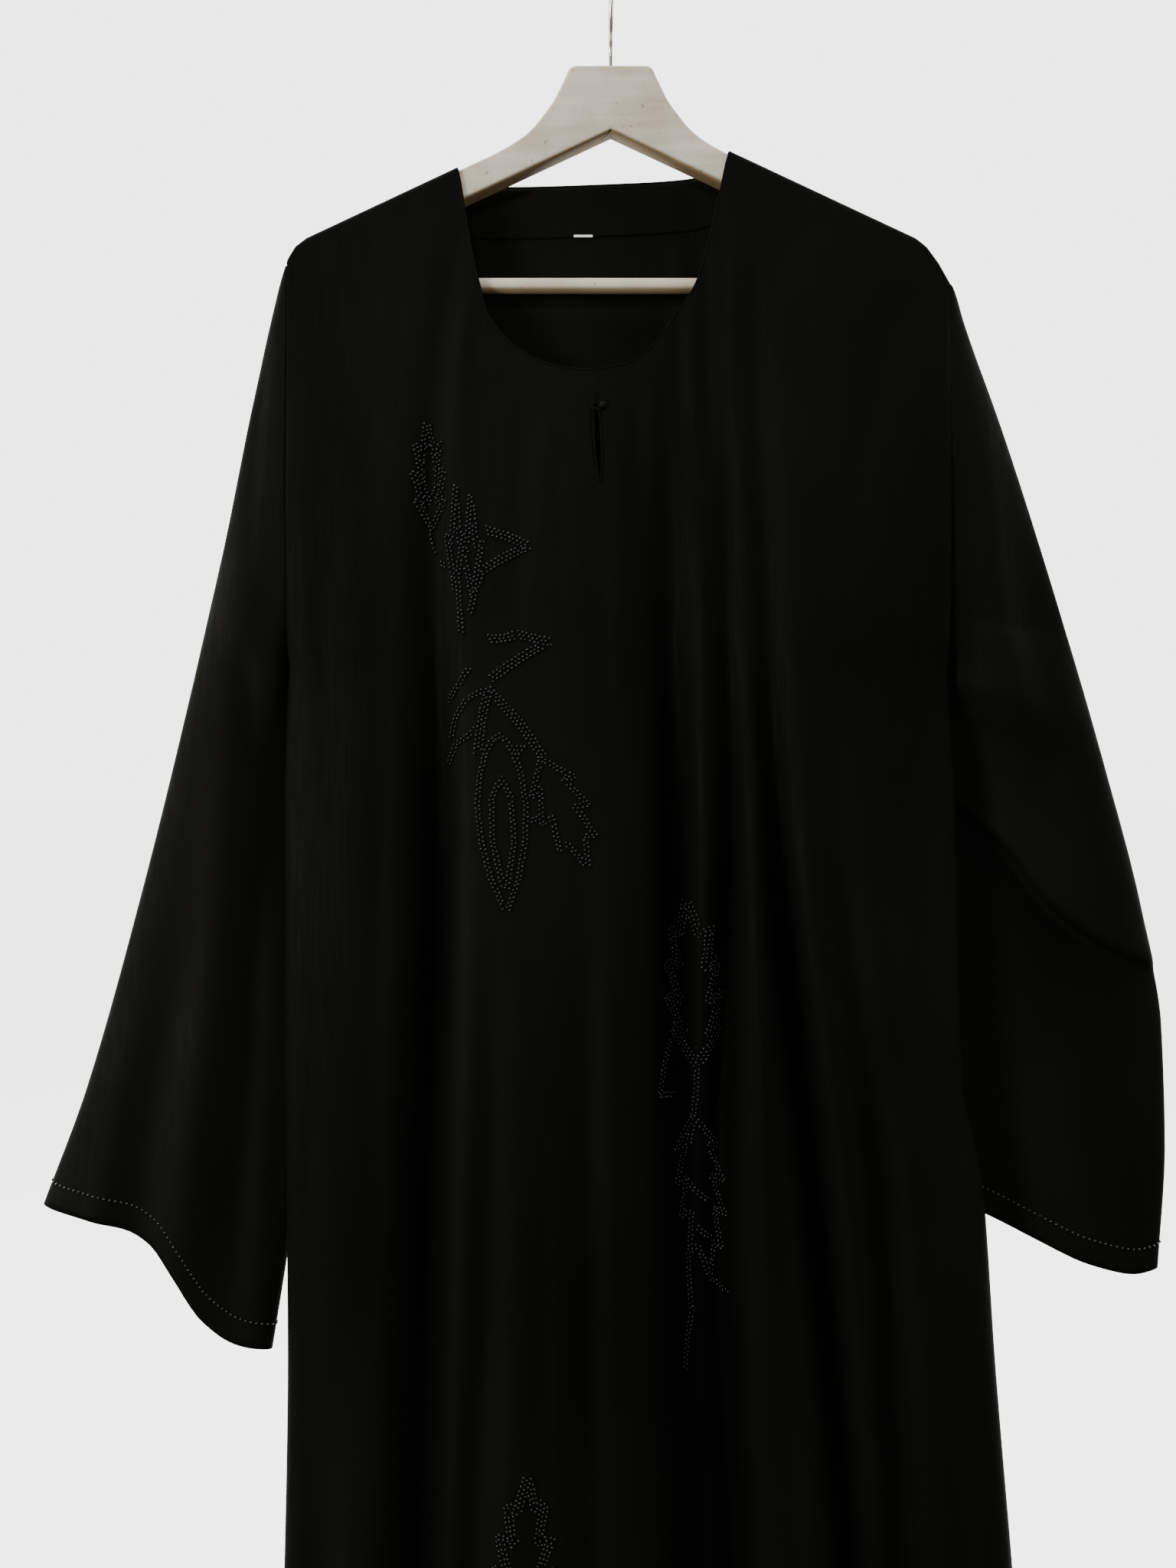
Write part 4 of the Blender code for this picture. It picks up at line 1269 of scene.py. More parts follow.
@dataclass
class Panel(Cloth):
    """Front or back of the body."""

    name: str
    face: Face
    neck: Sequence[Neck]
    stretches: Sequence[Stretch]
    folds: Sequence[Fold]
    creases: Sequence[Crease]
    column_steps: int
    low_rows: int
    flat: Pair
    area: float
    edge_rows: int = 8

    def __post_init__(self) -> None:
        """Works out the surface."""
        self.tops, self.shares = self.columns()
        self.falls = self.column_falls(self.tops, self.shares)
        self.grid = self.points(self.tops[:, None], self.shares[:, None], self.falls)
        folds = fold_depth(self.folds, self.grid[..., 0], self.grid[..., 2])
        # Painted shade that darkens the colour in the fold valleys, from the folds' depth
        self.painted_fold_shade = np.clip((folds - PAINTED_SHADE_FROM) / (PAINTED_SHADE_FULL - PAINTED_SHADE_FROM), 0.0, 1.0)

    def columns(self) -> tuple[Grid, Grid]:
        """Places of the columns.

        Returns:
            x of each column at its upper edge, and its share of the way across.
        """
        coarse = [self.stretches[0].start]
        for stretch in self.stretches:
            coarse += list(np.linspace(stretch.start, stretch.end, stretch.steps + 1)[1:])
        shares = np.linspace(0.0, 1.0, (len(coarse) - 1) * self.column_steps + 1)
        return np.interp(shares, np.linspace(0.0, 1.0, len(coarse)), coarse), shares

    def neck_fall(self, x: Grid) -> Grid:
        """Distance down the cloth to the neckline, and 0 outside the neck."""
        return np.where((x > self.neck[0].x) & (x < self.neck[-1].x), smooth(self.neck, x, "fall"), 0.0)

    def column_falls(self, tops: Grid, shares: Grid) -> Grid:
        """Distances of each column's points down the cloth, from its upper edge to the hem.

        Args:
            tops: x of the columns at the upper edge.
            shares: Their shares of the way across.

        Returns:
            The distances, columns by rows.
        """
        start = self.neck_fall(tops)[:, None]
        hem = HEM_Z + HEM_CURVE * (2 * shares - 1) ** 2
        length = fall_to(shoulder_height(tops) - hem)[:, None]
        upper = start + (FOLD_FLAT + FOLD_ARC) * np.linspace(0.0, 1.0, self.edge_rows + 1)[None, :]
        steps = (np.arange(1, self.low_rows + 1) / self.low_rows) ** ROW_CROWDING
        return np.hstack([upper, upper[:, -1:] + (length - upper[:, -1:]) * steps[None, :]])

    def points(self, tops: Grid, shares: Grid, falls: Grid) -> Grid:
        """Points of the panel's middle surface.

        Args:
            tops: x of the columns at the upper edge.
            shares: Their shares of the way across.
            falls: Distances down the cloth.

        Returns:
            The points, with the creases in them.
        """
        z = shoulder_height(tops) - fold_down(falls)
        left, right = smooth(SIDES, z, "left"), smooth(SIDES, z, "right")
        even = left + shares * (right - left)
        x = tops + (even - tops) * ease((RELAX_TOP - z) / (RELAX_TOP - RELAX_END))
        across = np.clip((2 * x - left - right) / (right - left), -1.0, 1.0)
        swell = (1 - across * across) ** (SIDE_ROUNDNESS / 2)
        middle = smooth(DEPTHS, z, "front" if self.face is Face.FRONT else "back")
        edge = smooth(DEPTHS, z, "edge")
        depth = edge + (middle - edge) * swell
        least = np.minimum(LEAST_DEPTH, edge + swell * LEAST_DEPTH)
        folded = np.maximum(depth - fold_depth(self.folds, x, z), least)
        depth = np.where((z < UNDERARM_Z) | (falls > LOOSEN_LENGTH), folded, depth)
        depth = SEAM_GAP / 2 + fold_out(falls) + (depth - FOLD_REACH) * ease(falls / LOOSEN_LENGTH)
        room = ease((1 - np.abs(across)) / CREASE_SIDE) * ease((falls - CREASE_FROM) / PANEL_CREASE_FADE)
        depth = depth + room * crease_relief(self.creases, x, z)
        if self.face is Face.BACK:
            depth = depth + self.neck_stand(x, falls)
        return np.stack([x, self.face.value * depth, z], axis=-1)

    def neck_stand(self, x: Grid, falls: Grid) -> Grid:
        """Extra depth of the back between the neck points.

        Args:
            x: Places across.
            falls: Distances down the cloth.

        Returns:
            The extra depth, 0 outside the neck and well below it.
        """
        across = (2 * x - NECK_LEFT - NECK_RIGHT) / (NECK_RIGHT - NECK_LEFT)
        rise = np.clip(1 - across ** 4, 0.0, 1.0)
        return NECK_STAND * rise * (1 - ease((falls - NECK_STAND_FROM) / NECK_STAND_LENGTH))

    def row_places(self, above_hem: float, spacing: float) -> list[Sewn]:
        """Places of stitches along the hem.

        Args:
            above_hem: Distance up the cloth from the lower edge.
            spacing: Distance between stitches.

        Returns:
            The places, on the outer side.
        """
        falls = self.falls[:, -1:] - above_hem
        line = self.points(self.tops[:, None], self.shares[:, None], falls)[:, 0]
        return spaced_places(self, [tuple(point) for point in line[2:-2]], spacing, self.face is Face.FRONT)


@dataclass
class Sleeve(Cloth):
    """Wide sleeve, sewn into the armhole and closed under the arm."""

    name: str
    side: int
    seam_x: float
    outline: Sequence[Place]
    inner: Sequence[Inner]
    cuff: Sequence[Cuff]
    creases: Sequence[Crease]
    elbow: Sequence[Level]
    flat: Pair
    area: float
    half_columns: int = 52
    top_rows: int = 6
    rows: int = 150

    def __post_init__(self) -> None:
        """Works out the surface, over the front wall, the outer edge and the rear wall."""
        turns = np.linspace(0.0, 1.0, self.half_columns + 1)
        top = self.inner[0].z
        curve = (FOLD_FLAT + FOLD_ARC) * np.linspace(FOLD_FLAT / (FOLD_FLAT + FOLD_ARC), 1.0, self.top_rows)
        upper = top - fold_down(curve)
        last = self.cuff[-1].front
        lower = upper[-1] + (last - upper[-1]) * np.arange(1, self.rows + 1) / self.rows
        heights = np.concatenate([upper, lower])
        front = self.points(heights[None, :], turns[:, None], Wall.FRONT)
        rear = self.points(heights[None, :], turns[::-1][1:, None], Wall.REAR)
        self.grid = np.concatenate([front, rear], axis=0)
        self.grid[:, 0, 1] = 0.0
        inset = self.elbow_step(self.side * front[..., 0], front[..., 2])[0]
        # Painted shade that darkens the front wall under the elbow crease, where it steps back
        self.painted_fold_shade = np.zeros(self.grid.shape[:2])
        self.painted_fold_shade[:len(front)] = np.clip(inset / ELBOW_DEPTH, 0.0, 1.0) ** 2

    def armhole_depth(self, z: Grid) -> Grid:
        """Half the width of the armhole, front to back.

        Args:
            z: Heights.

        Returns:
            The half widths, 0 below the underarm.
        """
        fall = fall_to(shoulder_height(self.seam_x) - z)
        edge = smooth(DEPTHS, z, "edge")
        depth = fold_out(fall) + (edge - FOLD_REACH) * ease(fall / LOOSEN_LENGTH)
        return np.where(z < UNDERARM_Z, 0.0, depth)

    def points(self, inner_z: Grid, turn: Grid, wall: Wall) -> Grid:
        """Points of one wall.

        Args:
            inner_z: Height of each row at the inner edge.
            turn: 0 at the inner edge and 1 at the outer one.
            wall: Which wall.

        Returns:
            The points of the wall's middle surface.
        """
        top = self.inner[0].z
        down = (top - inner_z) / (top - self.cuff[-1].front)
        opening = self.armhole_depth(inner_z)
        bulge = smooth(self.inner, inner_z, wall.value)
        above = inner_z >= UNDERARM_Z
        bulge = np.where(above, np.maximum(bulge, opening), bulge)
        share_open = np.clip(opening / np.maximum(bulge, 1e-9), 0.0, 1.0)
        start = np.where(above, np.arcsin(share_open), 0.0)
        angle = start + (pi - start) * turn
        share = (1 + np.cos(angle)) / 2
        outer_z = top - down * (top - self.cuff[0].front)
        z = top - down * (top - smooth(self.cuff, share, wall.value))
        outer_x = smooth(self.outline, outer_z, "x")
        closing = SEAM_CLOSING * ease((inner_z - UNDERARM_Z + CLOSING_LENGTH) / CLOSING_LENGTH)
        inner_x = smooth(self.inner, inner_z, "x") - closing
        x = outer_x - (outer_x - inner_x) * (1 + np.cos(angle)) / (1 + np.cos(start))
        y = smooth(self.inner, inner_z, "y") * share
        room = np.sin(pi * np.clip(turn, 0.0, 1.0)) ** 0.5
        room = room * ease((top - inner_z - CREASE_FROM) / SLEEVE_CREASE_FADE)
        relief = room * crease_relief(self.creases, self.side * x, z)
        if wall is Wall.FRONT:
            slack = 1 - TUCK_HOLD * smooth(self.inner, inner_z, "tuck") * share ** TUCK_SPREAD
            inset, lift = self.elbow_step(x, z)
            y = y + inset - bulge * np.sin(angle) * slack - relief
            z = z + lift
        else:
            y = y + bulge * np.sin(angle) + relief
        return np.stack([self.side * x, y, z], axis=-1)

    def elbow_step(self, x: Grid, z: Grid) -> tuple[Grid, Grid]:
        """Step of the front wall under the crease of a bent sleeve.

        Args:
            x: Distance outwards.
            z: Height.

        Returns:
            How far the wall steps back, and how far it is drawn up under the crease.
        """
        if not self.elbow:
            return np.zeros_like(z), np.zeros_like(z)
        below = smooth(self.elbow, x, "z") - z
        across = np.clip((x - self.elbow[0].x) / (self.elbow[-1].x - self.elbow[0].x), 0.0, 1.0)
        strength = np.sin(pi * across) ** ELBOW_FADE
        step = ease(0.5 + below / (2 * ELBOW_SOFTNESS))
        recovery = np.exp(-np.maximum(0.0, below) / ELBOW_RECOVERY)
        lift = ELBOW_OVERLAP * np.exp(-np.maximum(0.0, below - ELBOW_SOFTNESS) / (0.5 * ELBOW_RECOVERY))
        return ELBOW_DEPTH * strength * step * recovery, strength * step * lift

    def ring(self, above_edge: float) -> list[Point]:
        """Points round the sleeve, near its lower edge.

        Args:
            above_edge: Distance up the cloth from the cuff's edge.

        Returns:
            One point on each column.
        """
        points = []
        for column in self.grid:
            lengths = np.cumsum(np.linalg.norm(np.diff(column[::-1], axis=0), axis=1))
            i = int(np.searchsorted(lengths, above_edge))
            before = lengths[i - 1] if i else 0.0
            t = (above_edge - before) / (lengths[i] - before)
            points.append(tuple(column[::-1][i] * (1 - t) + column[::-1][i + 1] * t))
        return points

    def ring_places(self, above_edge: float, spacing: float) -> list[Sewn]:
        """Places of beads or stitches round the sleeve, outside it.

        Args:
            above_edge: Distance up the cloth from the cuff's edge.
            spacing: Distance between places.

        Returns:
            The places.
        """
        line = [Vector(point) for point in self.ring(above_edge)]
        centre = sum(line, Vector()) / len(line)
        places = []
        for point, along in even_steps(line, spacing):
            hit, normal, _, _ = self.tree().find_nearest(point)
            outwards = hit - centre
            outwards.z = 0.0
            normal = normal if normal.dot(outwards) > 0 else -normal
            places.append(Sewn(hit + normal * SHELL / 2, along, normal))
        return places


def even_steps(line: Sequence[Vector], spacing: float) -> list[tuple[Vector, Vector]]:
    """Points at even distances along a line.

    Args:
        line: The line's points.
        spacing: Distance between the points that are wanted.

    Returns:
        The points, each with the line's direction there.
    """
    found, left = [], 0.0
    for start, end in zip(line, line[1:]):
        run = end - start
        length = run.length
        if length < 1e-9:
            continue
        at = left
        while at < length:
            found.append((start + run * (at / length), run / length))
            at += spacing
        left = at - length
    return found


def spaced_places(cloth: Cloth, line: Sequence[Point], spacing: float, from_front: bool) -> list[Sewn]:
    """Places at even distances along a line that is laid on a surface.

    Args:
        cloth: The surface.
        line: Points near it.
        spacing: Distance between places.
        from_front: Whether they lie on the side that faces the front.

    Returns:
        The places on the cloth's wall.
    """
    laid = []
    for point in line:
        hit = cloth.touch(point[0], point[2], from_front)
        if hit:
            laid.append(hit[0] + hit[1] * SHELL / 2)
    places = []
    for point, along in even_steps(laid, spacing):
        hit = cloth.touch(point.x, point.z, from_front)
        if hit:
            places.append(Sewn(hit[0] + hit[1] * SHELL / 2, along, hit[1]))
    return places


class Leaf(NamedTuple):
    """Leaf in bead strokes: base and tip, half its width, teeth on a side, its bend and its inner line."""

    x: float
    z: float
    to_x: float
    to_z: float
    half_width: float
    teeth: int
    bend: float
    rows: int
    inner: float


class Stem(NamedTuple):
    """Bead stroke between two points, with a bow."""

    x: float
    z: float
    to_x: float
    to_z: float
    bow: float
    rows: int


@dataclass
class BeadSpray:
    """Branch of leaves in small black beads, sewn on the front."""

    name: str
    leaves: Sequence[Leaf]
    stems: Sequence[Stem]
    seed: int
    pitch: float = 0.00290
    row_gap: float = 0.00225
    bead: float = 0.00096
    jitter: float = 0.00030
    closeness: float = 1.86
    seat: float = 0.75
    flatness: float = 0.86
    variation: float = 0.10
    line_step: float = 0.0008
    notch: float = 0.50
    base_round: float = 0.14
    tip_round: float = 0.94

    def leaf_side(self, leaf: Leaf, width: float) -> list[Pair]:
        """One side of a leaf as shares of its length and offsets, its teeth pointing to the tip.

        Args:
            leaf: The leaf.
            width: Half its width, negative for the other side.

        Returns:
            Points from the base to the tip.
        """
        stroke = [(0.0, 0.0)]
        if not leaf.teeth:
            shares = (0.03, 0.10, 0.22, 0.40, 0.60, 0.80)
            stroke += [(share, width * sin(pi * share ** 0.8) ** 0.75) for share in shares]
        for tooth in range(leaf.teeth):
            share = (tooth + 1) / (leaf.teeth + 0.9)
            swell = sin(pi * (self.base_round + (self.tip_round - self.base_round) * share)) ** 0.8
            stroke.append((share, width * swell))
            stroke.append((share - 0.10 / leaf.teeth, width * swell * self.notch))
        return stroke + [(1.0, 0.0)]

    def leaf_strokes(self, leaf: Leaf) -> list[list[Pair]]:
        """Both sides of a leaf, and its inner line where it has one.

        Args:
            leaf: The leaf.

        Returns:
            The strokes, each as points of x and height.
        """
        run = np.array([leaf.to_x - leaf.x, leaf.to_z - leaf.z])
        length = float(np.hypot(*run))
        ahead = run / length
        aside = np.array([ahead[1], -ahead[0]])
        strokes = [self.leaf_side(leaf, leaf.half_width * side) for side in (-1, 1)]
        if leaf.inner:
            shares = (0.24, 0.36, 0.60, 0.88)
            widths = (0.0, 0.9, 1.0, 0.1)
            for side in (-1, 1):
                strokes.append([(a, side * leaf.inner * leaf.half_width * w) for a, w in zip(shares, widths)])
        laid = []
        for stroke in strokes:
            points = []
            for share, off in stroke:
                place = np.array([leaf.x, leaf.z]) + ahead * length * share
                place = place + aside * (off + leaf.bend * sin(pi * share))
                points.append((float(place[0]), float(place[1])))
            laid.append(points)
        return laid

    def stem_stroke(self, stem: Stem) -> list[Pair]:
        """Bowed line of a stem.

        Args:
            stem: The stem.

        Returns:
            Its points, x and height.
        """
        run = np.array([stem.to_x - stem.x, stem.to_z - stem.z])
        aside = np.array([run[1], -run[0]]) / np.hypot(*run)
        shares = np.linspace(0.0, 1.0, 9)
        return [tuple(np.array([stem.x, stem.z]) + run * t + aside * stem.bow * sin(pi * t)) for t in shares]

    def places(self, cloth: Cloth) -> list[Sewn]:
        """Places of all beads, hardly any nearer to another than a bead's width.

        Args:
            cloth: What the beads lie on.

        Returns:
            The places.
        """
        strokes = [(stroke, leaf.rows) for leaf in self.leaves for stroke in self.leaf_strokes(leaf)]
        strokes += [(self.stem_stroke(stem), stem.rows) for stem in self.stems]
        random = np.random.default_rng(self.seed)
        taken: dict[tuple[int, int, int], list[Vector]] = {}
        places: list[Sewn] = []
        for stroke, rows in strokes:
            for row in range(rows):
                off = (row - (rows - 1) / 2) * self.row_gap
                for point, along in self.laid_line(cloth, stroke, off, row * self.pitch / 2):
                    shift = random.uniform(-self.jitter, self.jitter, 2)
                    hit = cloth.touch(point.x + shift[0], point.z + shift[1])
                    if hit and self.free(taken, hit[0]):
                        middle = hit[0] + hit[1] * (SHELL / 2 + self.seat * self.bead)
                        places.append(Sewn(middle, along, hit[1]))
        return places

    def laid_line(self, cloth: Cloth, stroke: Sequence[Pair], off: float,
                  start: float) -> list[tuple[Vector, Vector]]:
        """Even steps along one row of a stroke, measured over the cloth's folds.

        Args:
            cloth: What the beads lie on.
            stroke: The stroke's points, x and height.
            off: Distance of the row from the stroke.
            start: Distance of the first bead from the row's start.

        Returns:
            Points with their directions.
        """
        points = []
        for (x, z), (to_x, to_z) in zip(stroke, stroke[1:]):
            run = np.array([to_x - x, to_z - z])
            length = max(1e-6, float(np.hypot(*run)))
            aside = np.array([run[1], -run[0]]) / length * off
            for t in np.linspace(0.0, 1.0, max(2, int(length / self.line_step))):
                hit = cloth.touch(x + run[0] * t + aside[0], z + run[1] * t + aside[1])
                if hit:
                    points.append(hit[0])
        steps = even_steps(points, self.pitch)
        return steps if start == 0 else [(p + d * start, d) for p, d in steps[:-1]]

    def free(self, taken: dict[tuple[int, int, int], list[Vector]], point: Vector) -> bool:
        """Whether a bead fits at a point, which is then taken.

        Args:
            taken: Points that are taken, by cells of space.
            point: The point.

        Returns:
            Whether no other bead is too near.
        """
        least = self.closeness * self.bead
        cell = tuple(int(v // least) for v in point)
        for i in (-1, 0, 1):
            for j in (-1, 0, 1):
                for k in (-1, 0, 1):
                    near = taken.get((cell[0] + i, cell[1] + j, cell[2] + k), ())
                    if any((other - point).length < least for other in near):
                        return False
        taken.setdefault(cell, []).append(point.copy())
        return True

    def build(self, cloth: Cloth, material: Material) -> Object:
        """Sews the beads on the cloth."""
        sewn = SewnOn(self.name, self.bead, self.bead, self.flatness * self.bead, self.variation, self.seed)
        return sewn.build(self.places(cloth), material, "jet_bead")


UPPER_SPRAY = BeadSpray(
    "beads_upper_spray",
    leaves=table(
        Leaf,
        (-0.116, -0.362, -0.12, -0.291, 0.0108, 3, 0.0, 2, 0.45),
        (-0.1, -0.402, -0.1, -0.334, 0.0058, 1, 0.0, 2, 0.0),
        (-0.089, -0.406, -0.0905, -0.34, 0.007, 1, 0.0, 2, 0.0),
        (-0.072, -0.496, -0.0665, -0.609, 0.0155, 0, 0.0, 2, 0.44),
        (-0.045, -0.511, -0.0145, -0.581, 0.0165, 3, 0.0, 2, 0.0),
    ),
    stems=table(
        Stem,
        (-0.1175, -0.36, -0.113, -0.378, 0.001, 1),
        (-0.1098, -0.3842, -0.0983, -0.3854, 0.002, 2),
        (-0.0983, -0.3954, -0.0958, -0.4326, 0.0, 2),
        (-0.081, -0.364, -0.053, -0.3745, -0.001, 3),
        (-0.053, -0.3745, -0.082, -0.39, 0.001, 3),
        (-0.082, -0.39, -0.0905, -0.419, 0.001, 2),
        (-0.079, -0.4345, -0.06, -0.4315, 0.001, 3),
        (-0.06, -0.4315, -0.04, -0.4365, 0.0, 3),
        (-0.04, -0.4365, -0.077, -0.46, 0.001, 3),
        (-0.091, -0.453, -0.105, -0.4745, 0.0, 2),
        (-0.0785, -0.467, -0.092, -0.473, 0.001, 2),
        (-0.092, -0.473, -0.1025, -0.498, 0.002, 2),
        (-0.0785, -0.468, -0.085, -0.508, 0.001, 3),
        (-0.086, -0.491, -0.099, -0.501, -0.001, 2),
        (-0.099, -0.501, -0.1045, -0.515, 0.0, 2),
        (-0.0785, -0.467, -0.043, -0.511, -0.002, 3),
        (-0.057, -0.502, -0.062, -0.509, 0.0, 3),
        (-0.055, -0.55, -0.044, -0.548, 0.001, 2),
    ),
    seed=3,
)
MIDDLE_SPRAY = BeadSpray(
    "beads_middle_spray",
    leaves=table(
        Leaf,
        (0.056, -0.708, 0.05, -0.602, 0.0175, 4, 0.0, 3, 0.0),
        (0.054, -0.742, 0.064, -0.848, 0.0155, 4, 0.0, 2, 0.0),
    ),
    stems=table(
        Stem,
        (0.039, -0.693, 0.03, -0.727, 0.001, 2),
        (0.03, -0.727, 0.041, -0.73, 0.0, 2),
        (0.056, -0.708, 0.0515, -0.76, -0.001, 2),
        (0.049, -0.783, 0.064, -0.798, 0.001, 2),
        (0.049, -0.806, 0.066, -0.823, 0.001, 2),
        (0.064, -0.848, 0.076, -0.856, 0.0, 2),
        (0.051, -0.82, 0.053, -0.87, 0.001, 2),
        (0.053, -0.87, 0.048, -0.908, 0.001, 2),
    ),
    seed=5,
)
LOWER_SPRAY = BeadSpray(
    "beads_lower_spray",
    leaves=table(
        Leaf,
        (-0.057, -1.08, -0.053, -0.961, 0.0185, 5, 0.0, 3, 0.0),
        (-0.043, -1.145, -0.015, -1.09, 0.012, 2, 0.001, 3, 0.0),
        (-0.056, -1.17, -0.085, -1.13, 0.01, 2, 0.001, 2, 0.0),
        (-0.052, -1.195, -0.06, -1.3, 0.015, 3, 0.001, 3, 0.4),
    ),
    stems=table(
        Stem,
        (-0.057, -1.08, -0.048, -1.14, 0.001, 3),
        (-0.048, -1.14, -0.052, -1.195, 0.002, 3),
    ),
    seed=7,
)


class Facing(Cloth):
    """Band inside the back neck."""

    def __init__(self, name: str, lying: Grid) -> None:
        """Moves the band's points inwards from the back."""
        self.name = name
        self.grid = lying - np.array([0.0, FACING_INWARDS, 0.0])


@dataclass
class Garment:
    """The abaya: two panels, two sleeves, facing, tab, binding, beads and stitches."""

    crepe: CrepeFinish = CrepeFinish("black_crepe")
    # Painted light: the sleeves' crepe is lighter than the body's, the left more than the right
    sleeve_painted_light: Pair = (1.55, 1.20)
    cuff_gloss: float = 0.40
    cuff_beads_up: float = 0.0165
    cuff_bead_pitch: float = 0.0036
    cuff_bead_width: float = 0.00095
    cuff_bead_height: float = 0.00085
    cuff_stitches_up: float = 0.0125
    hem_stitches_up: float = 0.0200
    stitch_pitch: float = 0.0034
    stitch_half: Point = (0.00120, 0.00022, 0.00016)
    binding_radius: float = 0.0007
    back_binding_radius: float = 0.00056
    binding_inset: float = 0.0008
    slit_top: Pair = (-0.0102, -0.2735)
    slit_bottom: Pair = (-0.0072, -0.3320)
    slit_width: float = 0.0040
    slit_cut_steps: int = 16
    cutter_front: float = -0.060
    cutter_depth: float = 0.058
    slit_binding_radius: float = 0.0008
    slit_steps: int = 20
    button_step: int = 3
    button_radius: float = 0.0023
    button_aside: float = 0.0030
    button_flatness: float = 0.85
    loop_radius: float = 0.00035
    loop_length: float = 0.0070
    loop_half_height: float = 0.0024
    loop_over: float = 0.0036
    loop_lift: float = 0.0012
    facing_steps: int = 22
    facing_wall: float = 0.0006
    label_x: float = -0.0182
    label_z: float = -0.1590
    label_size: Point = (0.0127, 0.0006, 0.0016)
    label_out: float = 0.0011

    def build(self) -> None:
        """Builds and dresses every piece."""
        self.cloth = self.crepe.make()
        self.bead = BeadFinish().make()
        self.thread = ThreadFinish().make()
        self.front = Panel("front_cloth", Face.FRONT, FRONT_NECK, FRONT_COLUMNS, FRONT_FOLDS, FRONT_CREASES,
                           column_steps=3, low_rows=190, flat=(0.68, 1.42), area=0.73)
        self.back = Panel("back_cloth", Face.BACK, BACK_NECK, BACK_COLUMNS, BACK_FOLDS, BACK_CREASES,
                          column_steps=3, low_rows=150, flat=(0.60, 1.42), area=0.70)
        self.sleeves = (
            Sleeve("sleeve_left_cloth", -1, ARMHOLE_LEFT, LEFT_OUTLINE, LEFT_INNER, LEFT_CUFF, LEFT_CREASES,
                   elbow=(), flat=(0.40, 0.735), area=0.129),
            Sleeve("sleeve_right_cloth", 1, ARMHOLE_RIGHT, RIGHT_OUTLINE, RIGHT_INNER, RIGHT_CUFF,
                   RIGHT_CREASES, elbow=ELBOW_CREASE, flat=(0.39, 0.67), area=0.140),
        )
        self.dress_front()
        self.dress_back()
        self.facing()
        self.dress_sleeves()

    def declare(self, piece: Object, cloth: Cloth, node: str) -> None:
        """Rides a cloth piece and lets it stand for its solid.

        Args:
            piece: The cloth piece.
            cloth: Not used.
            node: The solid's node.
        """
        finished(piece, "black_crepe")
        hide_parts(node)

    def dress_front(self) -> None:
        """Front panel with its slit, binding, button, beads and hem stitches."""
        piece = self.cut_slit(self.front.shell(self.cloth))
        trims = [self.edge("neck_binding", self.front, self.binding_radius), self.slit_binding(),
                 self.button(), self.button_loop()]
        trims += [spray.build(self.front, self.bead) for spray in (UPPER_SPRAY, MIDDLE_SPRAY, LOWER_SPRAY)]
        trims.append(self.hem_stitches("stitches_front_hem", self.front))
        self.declare(piece, self.front, "front")

    def dress_back(self) -> None:
        """Back panel with its binding and hem stitches."""
        piece = self.back.shell(self.cloth)
        trims = [self.edge("back_neck_binding", self.back, self.back_binding_radius),
                 self.hem_stitches("stitches_back_hem", self.back)]
        self.declare(piece, self.back, "back")

    def dress_sleeves(self) -> None:
        """Sleeves with the bead line and stitches of their cuffs."""
        cuff_bead = BeadFinish("jet_cuff_bead", gloss=self.cuff_gloss).make()
        for sleeve, node, painted_light_gain in zip(self.sleeves, ("sleeve_left", "sleeve_right"), self.sleeve_painted_light):
            # Each sleeve gets a lighter copy of the crepe as painted light
            piece = sleeve.shell(CrepeFinish("black_crepe_" + node, painted_light_gain=painted_light_gain).make())
            beads = SewnOn("beads_" + node, self.cuff_bead_width, self.cuff_bead_width, self.cuff_bead_height,
                           variation=0.08, seed=11)
            bead_places = sleeve.ring_places(self.cuff_beads_up, self.cuff_bead_pitch)
            stitch_places = sleeve.ring_places(self.cuff_stitches_up, self.stitch_pitch)
            trims = [beads.build(bead_places, cuff_bead, "jet_bead"),
                     self.stitches("stitches_" + node, stitch_places)]
            self.declare(piece, sleeve, node)

    def stitches(self, name: str, places: Sequence[Sewn]) -> Object:
        """Row of short stitches."""
        stitch = SewnOn(name, *self.stitch_half, variation=0.08, seed=17, segments=6, rings=4)
        return stitch.build(places, self.thread, "black_thread")

    def hem_stitches(self, name: str, panel: Panel) -> Object:
        """Row of stitches along a panel's hem."""
        return self.stitches(name, panel.row_places(self.hem_stitches_up, self.stitch_pitch))

    def slit_line(self, steps: int) -> list[Point]:
        """Middle line of the slit.

        Args:
            steps: Number of steps along it.

        Returns:
            x, height and half the slit's width at each step.
        """
        rows = []
        for t in np.linspace(0.0, 1.0, steps + 1):
            x = self.slit_top[0] + t * (self.slit_bottom[0] - self.slit_top[0])
            z = self.slit_top[1] + t * (self.slit_bottom[1] - self.slit_top[1])
            rows.append((x, z, self.slit_width / 2 * (1 - (2 * t - 1) ** 2)))
        return rows

    def cut_slit(self, piece: Object) -> Object:
        """Cuts the keyhole slit through the front's wall, and not the back's.

        Args:
            piece: The front, which is removed.

        Returns:
            The front with its slit, as a plain object.
        """
        rows = self.slit_line(self.slit_cut_steps)
        outline = [(x + w, z) for x, z, w in rows] + [(x - w, z) for x, z, w in rows[-2:0:-1]]
        bm = bmesh.new()
        face = bm.faces.new([bm.verts.new((x, self.cutter_front, z)) for x, z in outline])
        made = bmesh.ops.extrude_face_region(bm, geom=[face])["geom"]
        moved = [v for v in made if isinstance(v, bmesh.types.BMVert)]
        bmesh.ops.translate(bm, vec=(0.0, self.cutter_depth, 0.0), verts=moved)
        bmesh.ops.recalc_face_normals(bm, faces=bm.faces)
        return carved(piece, [from_bmesh("slit", bm)], self.front.name)

